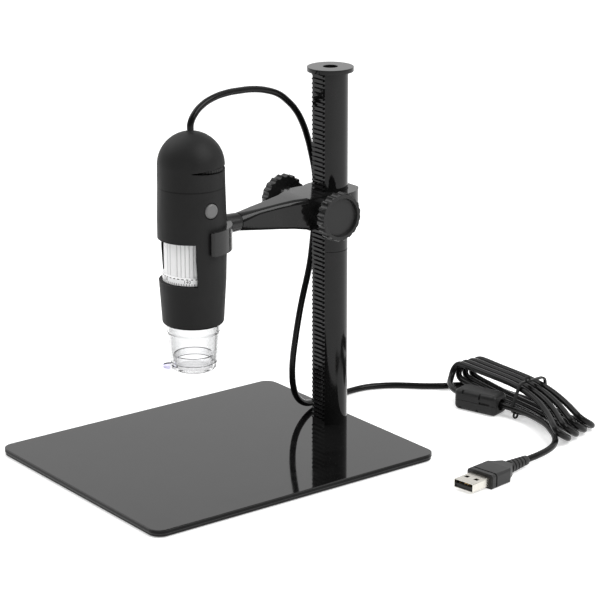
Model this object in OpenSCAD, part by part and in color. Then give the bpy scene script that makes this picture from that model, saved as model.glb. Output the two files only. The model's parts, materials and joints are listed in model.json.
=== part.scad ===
// USB digital microscope on a rack-and-pinion stand
// Millimetres. Origin: centre of the base plate, on the table. +Z up, +Y towards the column.

/* [Base] */
// Length of the base plate, front to back
plate_l = 170; // [150:1:210]
// Width of the base plate
plate_w = 142; // [120:1:180]
// Thickness of the moulded plate
plate_t = 2.3; // [1.8:0.1:4]
// Corner radius of the plate
plate_r = 6.6; // [3:0.2:12]
// Thickness of the steel sheet under the plate
weight_t = 1.2; // [0.8:0.1:2]
// Set-back of the steel sheet from the plate's edge
weight_inset = 0.4; // [0.2:0.1:2]
// Diameter of a rubber foot
foot_d = 12; // [8:1:16]
// Height of a rubber foot
foot_h = 0.6; // [0.4:0.1:2]
// Distance of a foot's centre from the plate's edges
foot_inset = 14; // [10:1:25]
// Shank diameter of the base screw
screw_d = 4; // [3:0.5:5]
// Length of the base screw
screw_l = 11; // [9:0.5:14]

/* [Column] */
// Outer diameter of the column
column_d = 18; // [17:0.2:20]
// Wall of the hollow column
column_wall = 2.4; // [1.8:0.1:3]
// Distance from the column's axis to the plate's back edge
column_back = 13.3; // [13.2:0.1:18]
// Height of the column's top above the table
column_top = 189.2; // [186:0.2:220]
// Height of the joint between the two segments
joint_z = 96.4; // [70:0.1:100]
// Length of the spigots that join the column's pieces
spigot_l = 12; // [6:1:20]
// Diameter of the cap's flange
cap_d = 23.6; // [21:0.2:28]
// Thickness of the cap's flange
cap_t = 2.3; // [1.5:0.1:4]
// Diameter of the hole in the cap
cap_hole_d = 7.4; // [5:0.2:8]

/* [Rack and pinion] */
// Module of the rack's teeth
tooth_module = 0.75; // [0.7:0.01:0.8]
// Number of teeth on the pinion
pinion_teeth = 12; // [11:1:13]
// Width of the rack strip
rack_w = 8.4; // [7:0.2:9]
// Height of the rack's teeth
tooth_h = 1.2; // [1:0.05:1.3]
// Distance from the column's axis to the tooth tips
rack_tip = 8.6; // [8.4:0.1:8.8]
// Width of the pinion
pinion_w = 7.6; // [6:0.2:8]
// Diameter of the pinion's shaft
shaft_d = 5; // [4:0.5:5.5]

/* [Carriage] */
// Height of the pinion's and the swivel's axes above the table
hub_z = 120.8; // [115:0.2:135]
// Height of the hub
hub_h = 16.4; // [15:0.2:18]
// Width of the hub at its front face
hub_w = 23.2; // [21:0.2:27]
// Distance from the shaft's axis to the hub's front face
hub_front = 9.6; // [8:0.2:12]
// Outer diameter of the collar around the column
collar_d = 28.8; // [27:0.2:31]
// Distance of the collar's flat back from the column's axis
collar_back = 13.1; // [12.6:0.1:13.1]
// Half the span of the two shaft bosses
boss_x = 16; // [15:0.2:17]
// Diameter of a shaft boss
boss_d = 14; // [11:0.5:15]
// Outer diameter of a shaft bush
bush_d = 8; // [7.5:0.1:9]
// Distance from the column's axis to the microscope's axis
head_reach = 85.3; // [80:0.1:100]
// Diameter of the arm's tip
arm_tip_d = 9.3; // [9:0.1:11]

/* [Knobs] */
// Outer diameter of a knob
knob_d = 24.9; // [22:0.1:27]
// Thickness of a knob's rim
knob_t = 5; // [4:0.1:7]
// Distance of a knob's outer face from the middle
knob_x = 25.8; // [25:0.1:28]
// Number of finger scallops
knob_scallops = 20; // [12:1:26]
// Diameter of the dished face
knob_dish_d = 19.6; // [15:0.2:20]
// Diameter of the knob's neck
knob_neck_d = 12.6; // [10:0.2:13.6]

/* [Holder] */
// Height of the clip
clip_h = 12; // [9:0.5:15]
// Wall of the clip
clip_wall = 2.7; // [2:0.1:3.5]
// Angle that the clip covers
clip_angle = 182; // [182:1:210]
// How far the clip's middle lies below the swivel axis
clip_drop = 2.8; // [1:0.1:4]
// Diameter of the stem where it meets the clip
stem_d = 10; // [9.4:0.1:11]
// Diameter of the swivel pin
pin_d = 6; // [5:0.2:6.2]

/* [Head] */
// Largest diameter of the head's body
body_d = 34; // [33.6:0.1:36]
// Diameter at the parting line
body_top_d = 33.2; // [32.8:0.1:33.6]
// Diameter just above the rounded lower edge
body_foot_d = 30.6; // [30:0.1:32]
// Length of the body, from its lower edge to the parting line
body_l = 69.5; // [66:0.1:76]
// Share of the body's length that lies below the swivel axis
body_hold = 0.67; // [0.66:0.005:0.68]
// Wall of the shells
shell_wall = 1.8; // [1.5:0.1:2]
// Height of the window's lower edge above the body's lower edge
window_z = 22.4; // [21.5:0.1:23]
// Height of the focus window
window_h = 21.4; // [20:0.1:22]
// Width of the focus window
window_w = 29.8; // [24:0.2:30]
// Height of the dome's centre above the parting line
dome_rise = 10.4; // [10:0.1:12]
// Height of the dimmer wheel's middle above the parting line
dimmer_z = 9.4; // [9:0.1:10]
// Distance of the dimmer wheel's axis from the head's axis
dimmer_off = 5; // [4.8:0.1:5.2]
// Direction of the dimmer slot, from +X
dimmer_dir = 26; // [0:1:40]
// Diameter of the dimmer wheel
dimmer_d = 22; // [21:0.1:22.4]
// Diameter of the snapshot button
button_d = 7.7; // [6:0.1:8]
// Distance of the button's middle below the parting line
button_drop = 9.6; // [9.4:0.1:12]
// Travel of the button
button_travel = 0.6; // [0.4:0.1:0.7]

/* [Focus] */
// Diameter of the ribbed part of the focus wheel
wheel_d = 27.8; // [26:0.1:28.4]
// Diameter of the number ring
ring_d = 29.6; // [28.8:0.1:29.8]
// Height of the number ring
ring_h = 4; // [3:0.1:6]
// Number of ribs around the wheel
wheel_ribs = 40; // [24:1:48]
// Outer diameter of the lens sleeve
sleeve_d = 18.8; // [18:0.1:19.4]
// Outer diameter of the lens barrel
barrel_d = 15; // [14:0.1:15.2]
// Travel of the lens each way
lens_travel = 5; // [3:0.5:5]

/* [Nose] */
// Diameter of the nose at the body
nose_d = 26.9; // [26.4:0.1:27]
// Diameter of the nose at its lower edge
nose_tip_d = 23.4; // [23:0.1:24.4]
// Length of the nose below the body
nose_l = 20; // [17:0.1:24]
// Wall of the nose
nose_wall = 1.4; // [1.2:0.1:1.6]
// Height of the end cap below the nose
nose_cap_h = 3.9; // [3:0.1:6]
// Reach of the cap's tab from the head's axis
tab_reach = 15.4; // [14:0.1:17]
// Direction of the tab, from +X
tab_dir = 233; // [180:1:270]

/* [Cord] */
// Diameter of the cord
cord_d = 3.4; // [3.2:0.1:3.5]
// Distance between neighbouring loops of the hank
hank_step = 4.3; // [4.2:0.1:4.6]
// Half the length of the hank's straight runs
hank_half = 46.5; // [45:0.5:48]
// Height of the upper runs at the hank's left end
hank_high = 14; // [13:0.5:15]
// Height of the upper runs at the hank's right end
hank_low = 9; // [8.5:0.5:10]
// Length of the ferrite case
ferrite_l = 26; // [22:1:28]
// Width of the ferrite case
ferrite_w = 12.6; // [11:0.2:13]
// Height of the ferrite case
ferrite_h = 11.4; // [10.6:0.2:11.4]
// Width of the tie's band
tie_w = 1.6; // [1:0.1:3]
// Thickness of the tie's band
tie_t = 1; // [0.6:0.1:1.2]

/* [Plug] */
// Width of the plug's metal shell
usb_w = 12; // [11.9:0.1:12.1]
// Height of the plug's metal shell
usb_h = 4.5; // [4.4:0.1:4.6]
// Length of the shell outside the overmould
usb_l = 12.5; // [11.75:0.05:13]
// Wall of the shell
usb_wall = 0.35; // [0.3:0.05:0.4]
// Width of the overmould
grip_w = 16.4; // [15:0.2:18]
// Height of the overmould
grip_h = 7.6; // [7:0.2:9]
// Length of the overmould
grip_l = 21; // [20:1:26]
// Length of the strain relief
relief_l = 15; // [12:1:20]

/* [Hidden] */
$fn = 96;

// Clearances
slide_gap = 0.2;      // carriage on the column, and parts that pass each other
run_gap = 0.05;       // a shaft in its bearing
fit_gap = 0.05;       // a fixed piece in its seat
free_gap = 0.3;       // moving pieces that never touch
press = 0.02;         // a pressed shaft in its hub
end_gap = 0.1;        // between two lengths of cord that meet
eps = 0.01;

// Heights and places that follow from the sizes above
weight_z = foot_h;
plate_z = weight_z + weight_t;
plate_top = plate_z + plate_t;
column_y = plate_l / 2 - column_back;
column_r = column_d / 2;
tube_r = column_r - column_wall;
pitch = PI * tooth_module;
pinion_r = tooth_module * pinion_teeth / 2;
tooth_add = tooth_h / 2;
rack_root = rack_tip - tooth_h;
shaft_y = column_y - (rack_tip - tooth_add + pinion_r);
hub_front_y = shaft_y - hub_front;
head_y = column_y - head_reach;
body_r = body_d / 2;
clip_z = hub_z - clip_drop;
clip_r = body_r + 2 * run_gap;
body_z = hub_z - body_hold * body_l;
parting_z = body_z + body_l;
button_at = parting_z - button_drop;
dome_z = parting_z + dome_rise;
dome_r = body_top_d / 2 - 0.1;
stem_y = head_y + clip_r + clip_wall + 7.2;
washer_t = 0.6;
arm_tip_y = stem_y + washer_t + 0.1;
cord_r = cord_d / 2;

// Shared shapes
module rod_x(r, x0, x1) {
    translate([x0, 0, 0]) rotate([0, 90, 0]) cylinder(r = r, h = x1 - x0);
}

module rod_y(r, y0, y1, r_end = -1) {
    translate([0, y0, 0]) rotate([-90, 0, 0])
        cylinder(r1 = r, r2 = r_end < 0 ? r : r_end, h = y1 - y0);
}

module ring(r_out, r_in, h) {
    difference() {
        cylinder(r = r_out, h = h);
        translate([0, 0, -1]) cylinder(r = r_in, h = h + 2);
    }
}

// Rounded rectangle, centred
module rounded_rect(w, l, r) {
    square([w - 2 * r, l], center = true);
    square([w, l - 2 * r], center = true);
    for (sx = [-1, 1], sy = [-1, 1])
        translate([sx * (w / 2 - r), sy * (l / 2 - r)]) circle(r = r);
}

module at_column() { translate([0, column_y, 0]) children(); }
module at_head() { translate([0, head_y, 0]) children(); }
module at_shaft() { translate([0, shaft_y, hub_z]) children(); }
module at_swivel() { translate([0, 0, hub_z]) children(); }

// Base
countersink_d = 2 * screw_d;

module screw_hole() {
    at_column() {
        translate([0, 0, weight_z - 1]) cylinder(d = screw_d + 2 * fit_gap, h = plate_top + 2);
        translate([0, 0, weight_z - eps])
            cylinder(d1 = countersink_d + 2 * fit_gap, d2 = screw_d + 2 * fit_gap, h = screw_d / 2);
    }
}

module base_plate() {
    color("#1c1c1d") difference() {
        translate([0, 0, plate_z]) linear_extrude(plate_t) rounded_rect(plate_w, plate_l, plate_r);
        screw_hole();
    }
}

module base_weight() {
    color("#2a2a2b") difference() {
        translate([0, 0, weight_z]) linear_extrude(weight_t)
            rounded_rect(plate_w - 2 * weight_inset, plate_l - 2 * weight_inset, plate_r - weight_inset);
        screw_hole();
    }
}

module rubber_feet() {
    color("#101010") for (sx = [-1, 1], sy = [-1, 1])
        translate([sx * (plate_w / 2 - foot_inset), sy * (plate_l / 2 - foot_inset), 0])
            cylinder(d = foot_d, h = foot_h);
}

module base_screw() {
    color("silver") at_column() difference() {
        union() {
            translate([0, 0, weight_z]) cylinder(d1 = countersink_d, d2 = screw_d, h = screw_d / 2);
            translate([0, 0, weight_z]) cylinder(d = screw_d, h = screw_l);
        }
        for (a = [0, 90]) rotate(a)
            translate([-countersink_d / 4, -0.4, weight_z - 1]) cube([countersink_d / 2, 0.8, 1.9]);
    }
}

// Rack: a gap lies at the pinion's height, so the two are in mesh at rest
tooth_half = pitch / 4 - 0.06;
flank = tooth_add * tan(20);

// Points up one tooth, as [distance from the column's axis, height]
function tooth(z) = [
    [rack_root, z - tooth_half - flank],
    [rack_tip, z - tooth_half + flank],
    [rack_tip, z + tooth_half - flank],
    [rack_root, z + tooth_half + flank]
];

module rack(z0, z1) {
    k0 = ceil((z0 - hub_z + pitch / 2 + tooth_half + flank) / pitch);
    k1 = floor((z1 - hub_z + pitch / 2 - tooth_half - flank) / pitch);
    teeth = [for (k = [k0 : k1], p = tooth(hub_z + (k - 0.5) * pitch)) p];
    points = concat([[rack_root - 1, z0], [rack_root, z0]], teeth, [[rack_root, z1], [rack_root - 1, z1]]);
    translate([rack_w / 2, 0, 0]) rotate([90, 0, -90])
        linear_extrude(rack_w) polygon(points);
}

// Column segment with its flat front and its rack
module segment(z0, z1) {
    difference() {
        translate([0, 0, z0]) cylinder(r = column_r, h = z1 - z0);
        translate([-column_d, -column_d - rack_root, z0 - 1]) cube([2 * column_d, column_d, z1 - z0 + 2]);
    }
    rack(z0, z1);
}

seam_z = hub_z + round((joint_z - hub_z) / pitch) * pitch;   // joint, moved to the nearest tooth gap
foot_block = 16;      // solid lower end of the column
joint_groove = 0.35;  // fine line around the joint

module column_lower() {
    color("#1b1b1c") at_column() difference() {
        segment(plate_top, seam_z);
        translate([0, 0, plate_top + foot_block]) cylinder(r = tube_r, h = seam_z);
        translate([0, 0, plate_top - 1]) cylinder(d = screw_d + 2 * fit_gap, h = screw_l);
    }
}

module column_upper() {
    spigot_r = tube_r - fit_gap;
    color("#1b1b1c") at_column() difference() {
        union() {
            segment(seam_z, column_top);
            translate([0, 0, seam_z - spigot_l]) cylinder(r = spigot_r, h = spigot_l + 1);
        }
        translate([0, 0, seam_z - spigot_l - 1]) cylinder(r = spigot_r - 1.6, h = column_top);
        translate([0, 0, seam_z + 4]) cylinder(r = tube_r, h = column_top);
        difference() {
            translate([0, 0, seam_z - eps]) ring(column_d, column_r - joint_groove, joint_groove);
            translate([-column_d, -column_d - rack_root + 0.5, seam_z - 1]) cube([2 * column_d, column_d, 3]);
        }
    }
}

module column_cap() {
    color("#232324") at_column() difference() {
        union() {
            translate([0, 0, column_top]) cylinder(d = cap_d, h = cap_t);
            translate([0, 0, column_top - spigot_l]) cylinder(r = tube_r - fit_gap, h = spigot_l + 1);
        }
        translate([0, 0, column_top - spigot_l - 1]) cylinder(d = cap_hole_d, h = spigot_l + cap_t + 2);
    }
}

// Carriage: collar, hub, bosses and the tapering arm
pocket_r = pinion_r + tooth_add + 0.35;
pin_in_arm = 18;      // length of the swivel pin inside the arm
screw_in_arm = 9;     // distance of the set screw from the arm's tip
groove_half = 1.6;    // half width of the groove in the swivel pin
set_screw_r = 1.25;

// Arm sections from hub to tip: [share of the arm's length, half width, half height]
arm_sections = [
    [0, hub_w / 2, hub_h / 2],
    [0.17, hub_w * 0.36, hub_h * 0.46],
    [0.42, hub_w * 0.28, hub_h * 0.405],
    [0.72, hub_w * 0.225, hub_h * 0.335]
];
arm_l = hub_front_y - arm_tip_y;
arm_edge = 2.6;

module arm_slice(s) {
    translate([0, hub_front_y - s[0] * arm_l, hub_z]) rotate([90, 0, 0])
        linear_extrude(eps) rounded_rect(2 * s[1], 2 * s[2], arm_edge, $fn = 32);
}

module arm() {
    for (i = [0 : len(arm_sections) - 2]) hull() {
        arm_slice(arm_sections[i]);
        arm_slice(arm_sections[i + 1]);
    }
    hull() {
        arm_slice(arm_sections[len(arm_sections) - 1]);
        at_swivel() rod_y(arm_tip_d / 2, arm_tip_y, arm_tip_y + 3, $fn = 48);
    }
}

module carriage_arm() {
    channel_w = rack_w + 2 * slide_gap;
    channel_tip = rack_tip + slide_gap;
    color("#1e1e1f") difference() {
        union() {
            arm();
            translate([-hub_w / 2, hub_front_y - eps, hub_z - hub_h / 2])
                cube([hub_w, column_y - hub_front_y, hub_h]);
            at_column() intersection() {
                translate([0, 0, hub_z - hub_h / 2]) cylinder(d = collar_d, h = hub_h);
                translate([-collar_d, -collar_d, 0]) cube([2 * collar_d, collar_d + collar_back, 2 * hub_z]);
            }
            at_shaft() rod_x(boss_d / 2, -boss_x, boss_x);
        }
        at_column() {
            cylinder(r = column_r + slide_gap, h = 2 * hub_z);
            translate([-channel_w / 2, -channel_tip, 0]) cube([channel_w, channel_tip, 2 * hub_z]);
        }
        at_shaft() {
            rod_x(pocket_r, -pinion_w / 2 - free_gap, pinion_w / 2 + free_gap);
            rod_x(bush_d / 2, -boss_x - 1, boss_x + 1);
        }
        at_swivel() rod_y(pin_d / 2 + run_gap, arm_tip_y - 1, arm_tip_y + pin_in_arm + 1);
        translate([0, arm_tip_y + screw_in_arm, hub_z - hub_h]) cylinder(r = set_screw_r + fit_gap, h = hub_h);
    }
}

module pinion_bushes() {
    bush_x = max(pinion_w, rack_w) / 2 + free_gap;   // clear of the rack's teeth too
    color("#b08d57") at_shaft() for (side = [-1, 1]) difference() {
        rod_x(bush_d / 2 - fit_gap, side > 0 ? bush_x : -boss_x, side > 0 ? boss_x : -bush_x);
        rod_x(shaft_d / 2 + run_gap, -boss_x - 1, boss_x + 1);
    }
}

knob_washer_t = 1;

module knob_washers() {
    color("#d8d8d0") at_shaft() for (side = [0, 180]) rotate(side) difference() {
        rod_x(knob_neck_d / 2, boss_x, boss_x + knob_washer_t);
        rod_x(shaft_d / 2 + run_gap, boss_x - 1, boss_x + 2);
    }
}

module swivel_washer() {
    color("#0c0c0c") at_swivel() difference() {
        rod_y(arm_tip_d / 2 - 0.35, arm_tip_y - washer_t, arm_tip_y);
        rod_y(pin_d / 2 + run_gap, arm_tip_y - 2, arm_tip_y + 1);
    }
}

pin_groove_r = pin_d / 2 - 0.7;

module swivel_screw() {
    tip_z = hub_z - pin_groove_r - 0.1;
    color("silver") translate([0, arm_tip_y + screw_in_arm, 0]) difference() {
        translate([0, 0, tip_z - 2.4]) cylinder(r = set_screw_r, h = 2.4);
        translate([0, 0, tip_z - 3.4]) cylinder(r = 0.65, h = 2, $fn = 6);
    }
}

// Pinion, shaft and knobs
shaft_end = knob_x - 2.2;
base_r = pinion_r * cos(20);
function involute(r) = r > base_r ? (tan(acos(base_r / r)) * 180 / PI - acos(base_r / r)) : 0;
pinion_half = (pitch / 4 - 0.09) / pinion_r * 180 / PI;
pinion_tip = pinion_r + tooth_add - 0.15;
pinion_root = pinion_r - tooth_add - 0.2;
pinion_steps = [pinion_root, base_r, pinion_r, pinion_tip];

// Half angle of a pinion tooth at radius r
function tooth_angle(r) = pinion_half + involute(pinion_r) - involute(r);
function pinion_points() = [
    for (k = [0 : pinion_teeth - 1], side = [-1, 1], i = [0 : 3])
        let (r = pinion_steps[side < 0 ? i : 3 - i], a = 360 * k / pinion_teeth + side * tooth_angle(r))
            [r * cos(a), r * sin(a)]
];

module pinion_gear() {
    color("#c9b27a") at_shaft() rotate([90, 0, 90]) difference() {
        translate([0, 0, -pinion_w / 2]) linear_extrude(pinion_w) polygon(pinion_points());
        translate([0, 0, -pinion_w]) cylinder(d = shaft_d - 2 * press, h = 2 * pinion_w);
    }
}

module pinion_shaft() {
    color("silver") at_shaft() rod_x(shaft_d / 2, -shaft_end, shaft_end);
}

knob_edge = 0.9;
dish_depth = 1.7;
scallop_r = 1.7;

module knob() {
    r = knob_d / 2;
    inner = knob_x - knob_t;
    neck_x = boss_x + knob_washer_t + 0.1;
    profile = [
        [0, neck_x], [knob_neck_d / 2, neck_x], [knob_neck_d / 2, inner],
        [r - knob_edge / 2, inner], [r, inner + knob_edge / 2], [r, knob_x - knob_edge],
        [r - knob_edge, knob_x], [knob_dish_d / 2, knob_x],
        [knob_dish_d / 2 - 0.5, knob_x - dish_depth], [0, knob_x - dish_depth]
    ];
    difference() {
        rotate([0, 90, 0]) rotate_extrude() polygon(profile);
        rod_x(shaft_d / 2 - press, 0, shaft_end);
        for (i = [0 : knob_scallops - 1]) rotate([i * 360 / knob_scallops, 0, 0])
            translate([0, 0, r + scallop_r * 0.35]) rod_x(scallop_r, inner - 1, knob_x + 1);
    }
}

module knob_right() { color("#2d2d2e") at_shaft() knob(); }
module knob_left() { color("#2d2d2e") at_shaft() rotate([0, 0, 180]) knob(); }

// Holder
module holder_clip() {
    r_out = clip_r + clip_wall;
    gap = (360 - clip_angle) / 2;
    mid = clip_r + clip_wall / 2;
    color("#2b2b2c") {
        at_head() translate([0, 0, clip_z - clip_h / 2]) {
            difference() {
                rotate(-90) ring(r_out, clip_r, clip_h);
                translate([0, 0, -1]) linear_extrude(clip_h + 2)
                    polygon([[0, 0], for (a = [-90 - gap, -90 - gap / 2, -90, -90 + gap / 2, -90 + gap])
                        3 * r_out * [cos(a), sin(a)]]);
            }
            for (side = [-1, 1]) rotate(-90 + side * gap) translate([mid, 0, 0.2]) rotate(side * 90)
                cylinder(d = clip_wall - 0.2, h = clip_h - 0.4, $fn = 32);
        }
        difference() {
            at_swivel() rod_y(stem_d / 2, head_y + clip_r + clip_wall / 2, stem_y, arm_tip_d / 2);
            at_head() cylinder(r = clip_r, h = 2 * hub_z);
            at_swivel() rod_y(pin_d / 2 - press, pin_seat_y, stem_y + 1);
        }
    }
}

pin_seat_y = head_y + clip_r + clip_wall + 1.5;

module swivel_pin() {
    pin_end = arm_tip_y + pin_in_arm;
    groove_y = arm_tip_y + screw_in_arm;
    color("silver") at_swivel() difference() {
        rod_y(pin_d / 2, pin_seat_y, pin_end);
        difference() {
            rod_y(pin_d, groove_y - groove_half, groove_y + groove_half);
            rod_y(pin_groove_r, groove_y - 3, groove_y + 3);
        }
    }
}

// Head shells, as turned profiles [radius, height]
lower_r = body_foot_d / 2;
edge_r = lower_r - nose_d / 2 - 0.2;
window_lo = body_z + window_z;
window_hi = window_lo + window_h;
seat_lo = clip_z - clip_h / 2 - 1;
seat_hi = clip_z + clip_h / 2 + 4;
neck_l = 7;                          // nose neck inside the body
neck_r = nose_d / 2 - fit_gap;
board_z = parting_z - 2.3;
board_t = 1.6;
gland_r = cord_r + 0.45;
ring_room = ring_d / 2 + free_gap;
window_back = sqrt(max(pow(ring_room, 2) - pow(window_w / 2, 2), 1)) - 0.05;

function arc(cx, cz, r, a0, a1, n) = [for (i = [0 : n]) let (a = a0 + (a1 - a0) * i / n) [cx + r * cos(a), cz + r * sin(a)]];

module body_profile() {
    inner_r = body_top_d / 2 - shell_wall;
    polygon(concat(
        [[nose_d / 2, body_z]],
        arc(lower_r - edge_r, body_z + edge_r, edge_r, -90, 0, 8),
        [[body_r - 0.4, window_lo], [body_r, seat_lo], [body_r, seat_hi], [body_top_d / 2, parting_z],
         [inner_r, parting_z], [inner_r, board_z], [inner_r - 1.6, board_z], [inner_r - 1.6, board_z - 0.8],
         [inner_r, board_z - 2], [inner_r, window_hi + 5], [ring_room, window_hi + 5], [ring_room, window_lo],
         [nose_d / 2, window_lo]]
    ));
}

module head_body() {
    color("#29292a") at_head() difference() {
        rotate_extrude() body_profile();
        translate([-window_w / 2, -2 * body_r, window_lo]) cube([window_w, 2 * body_r - window_back, window_h]);
        translate([0, 0, button_at]) rod_x(button_d / 2 + slide_gap, 0, 2 * body_r);
    }
}

slot_half = 1.3;      // half height of the slot at its widest
slot_lip = 0.2;       // half height at its ends

module dimmer_slot() {
    r = dimmer_d / 2;
    rotate(dimmer_dir) translate([dimmer_off, 0, parting_z + dimmer_z]) rotate_extrude()
        polygon([[0, -slot_half], [r + 0.4, -slot_half], [r + 3.6, -slot_lip],
                 [r + 3.6, slot_lip], [r + 0.4, slot_half], [0, slot_half]]);
}

module head_dome() {
    inner_r = dome_r - shell_wall;
    lip_r = body_top_d / 2 - shell_wall - fit_gap;
    lip_z = board_z + board_t + fit_gap;
    color("#29292a") at_head() difference() {
        rotate_extrude() polygon(concat(
            [[lip_r, lip_z], [lip_r, parting_z], [body_top_d / 2, parting_z]],
            arc(0, dome_z, dome_r, 0, acos(gland_r / dome_r), 24),
            arc(0, dome_z, inner_r, acos(gland_r / inner_r), 0, 24),
            [[lip_r - 1.2, parting_z + 1.5], [lip_r - 1.2, lip_z]]
        ));
        dimmer_slot();
    }
}

gland_top = dome_z + dome_r + 0.2;

module cord_gland() {
    color("#141414") at_head() rotate_extrude() polygon([
        [0, gland_top - 7], [gland_r + 1, gland_top - 7], [gland_r + 1, dome_z + dome_r - shell_wall - 0.5],
        [gland_r - fit_gap, dome_z + dome_r - shell_wall - 0.5], [gland_r - fit_gap, gland_top - 0.4],
        [gland_r - 0.4, gland_top], [0, gland_top]
    ]);
}

// Electronics in the head
board_r = body_top_d / 2 - shell_wall - slide_gap;

module main_board() {
    color("darkgreen") at_head() translate([0, 0, board_z]) cylinder(r = board_r, h = board_t);
}

sensor_w = 8;
sensor_h = 2;

module image_sensor() {
    color("#202830") at_head() translate([-sensor_w / 2, -sensor_w / 2, board_z - sensor_h])
        cube([sensor_w, sensor_w, sensor_h]);
}

flange_t = 1;
flange_x = sqrt(pow(body_top_d / 2 - shell_wall, 2) - pow(button_d / 2 + 1, 2)) - flange_t - free_gap;
switch_x = flange_x - button_travel - 0.15;
switch_t = 3.6;
switch_w = 6;
switch_board_t = 1.2;

module switch_board() {
    low = button_at - 4.2;
    color("darkgreen") at_head() translate([switch_x - switch_t - switch_board_t, -5.5, low])
        cube([switch_board_t, 11, board_z - low]);
}

module tact_switch() {
    color("#303030") at_head() translate([0, 0, button_at]) {
        translate([switch_x - switch_t, -switch_w / 2, -switch_w / 2]) cube([switch_t - 0.8, switch_w, switch_w]);
        rod_x(1.6, switch_x - 1.2, switch_x);
    }
}

module snapshot_button() {
    face = body_r + 0.45;
    color("#77787a") at_head() translate([0, 0, button_at]) rotate([0, 90, 0]) rotate_extrude()
        polygon(concat(
            [[0, flange_x], [button_d / 2 + 1, flange_x], [button_d / 2 + 1, flange_x + flange_t],
             [button_d / 2, flange_x + flange_t], [button_d / 2, face - 0.6]],
            [for (i = [1 : 6]) let (s = i / 6) [button_d / 2 * cos(90 * s), face - 0.6 + 0.6 * sin(90 * s)]]
        ));
}

pot_h = 3.4;
wheel_t = 1.6;
spindle_r = 1.5;

module at_dimmer() {
    at_head() rotate(dimmer_dir) translate([dimmer_off, 0, 0]) children();
}

module dimmer_pot() {
    color("#26323c") at_dimmer() {
        translate([0, 0, board_z + board_t]) cylinder(r = 4.6, h = pot_h);
        translate([0, 0, board_z + board_t]) cylinder(r = spindle_r, h = parting_z + dimmer_z + wheel_t - board_z - board_t);
    }
}

dimmer_notches = 44;

module dimmer_wheel() {
    r = dimmer_d / 2;
    color("#191919") at_dimmer() translate([0, 0, parting_z + dimmer_z - wheel_t / 2]) difference() {
        cylinder(r = r, h = wheel_t);
        translate([0, 0, -1]) cylinder(r = spindle_r + run_gap, h = wheel_t + 2);
        for (i = [0 : dimmer_notches - 1]) rotate(i * 360 / dimmer_notches)
            translate([r + 0.15, 0, -1]) cylinder(r = 0.45, h = wheel_t + 2, $fn = 16);
    }
}

// Focus: sleeve, wheel, lens and lights
sleeve_r = sleeve_d / 2;
barrel_r = barrel_d / 2;
led_board_z = body_z + neck_l + fit_gap;
led_board_t = 1.2;
sleeve_lo = led_board_z + led_board_t;
sleeve_top = window_hi + 1.6;
wheel_lo = window_lo + free_gap;
wheel_hi = sleeve_top - free_gap;
pin_z = (wheel_lo + wheel_hi) / 2;
drive_pin_r = 0.9;
recess_r = sleeve_r + 2.4;
land_h = 2;

module lens_sleeve() {
    slot_l = lens_travel + drive_pin_r + slide_gap;
    color("#1a1a1a") at_head() difference() {
        union() {
            translate([0, 0, sleeve_lo]) cylinder(r = sleeve_r, h = sleeve_top - sleeve_lo + 2.4);
            translate([0, 0, sleeve_top]) cylinder(r = ring_d / 2 + free_gap - fit_gap, h = 2.4);
        }
        translate([0, 0, sleeve_lo - 1]) cylinder(r = barrel_r + run_gap, h = sleeve_top);
        translate([0, -drive_pin_r - slide_gap, pin_z - slot_l])
            cube([2 * sleeve_r, 2 * (drive_pin_r + slide_gap), 2 * slot_l]);
    }
}

module focus_wheel() {
    r = wheel_d / 2;
    color("#f1f1ee") at_head() difference() {
        rotate_extrude() polygon([
            [sleeve_r + run_gap, wheel_lo], [ring_d / 2, wheel_lo], [ring_d / 2, wheel_lo + ring_h - 0.5],
            [ring_d / 2 - 0.5, wheel_lo + ring_h], [r, wheel_lo + ring_h], [r, wheel_hi],
            [sleeve_r + run_gap, wheel_hi], [sleeve_r + run_gap, wheel_hi - land_h], [recess_r, wheel_hi - land_h],
            [recess_r, wheel_lo + land_h], [sleeve_r + run_gap, wheel_lo + land_h]
        ]);
        for (i = [0 : wheel_ribs - 1]) rotate((i + 0.5) * 360 / wheel_ribs)
            translate([r + 0.12, 0, wheel_lo + ring_h]) cylinder(r = 0.4, h = wheel_hi, $fn = 16);
    }
}

barrel_l = 22;
barrel_lo = pin_z + 2 - barrel_l;

module lens_barrel() {
    color("#101010") at_head() {
        translate([0, 0, barrel_lo]) ring(barrel_r, barrel_r - 1.9, barrel_l);
        translate([0, 0, pin_z]) rod_x(drive_pin_r, barrel_r - 1, recess_r - free_gap);
    }
}

// Biconvex lens of radius r, its middle at height 0
module lens(r, edge, bulge) {
    rotate_extrude() polygon(concat(
        [for (i = [0 : 6]) [r * i / 6, -edge / 2 - bulge * (1 - pow(i / 6, 2))]],
        [for (i = [6 : -1 : 0]) [r * i / 6, edge / 2 + bulge * (1 - pow(i / 6, 2))]]
    ));
}

module lens_glass() {
    glass_r = barrel_r - 1.9 - fit_gap;
    color("lightcyan", 0.5) at_head() for (z = [barrel_lo + 2.5, barrel_lo + 10]) translate([0, 0, z])
        lens(glass_r, 1.2, 0.7);
}

module led_board() {
    color("#e8e8e2") at_head() translate([0, 0, led_board_z])
        ring(neck_r - slide_gap, barrel_r + free_gap, led_board_t);
}

led_count = 8;
led_ring_r = 9.9;

module leds() {
    color("#fff6d8") at_head() for (i = [0 : led_count - 1]) rotate((i + 0.5) * 360 / led_count)
        translate([led_ring_r, 0, led_board_z - 1.4]) {
            cylinder(r = 1.4, h = 1.4, $fn = 32);
            sphere(r = 1.4, $fn = 32);
        }
}

// Clear nose and its cap
nose_lo = body_z - nose_l;
collar_lo = body_z - 5.2;
cap_plug_h = 4;

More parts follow.
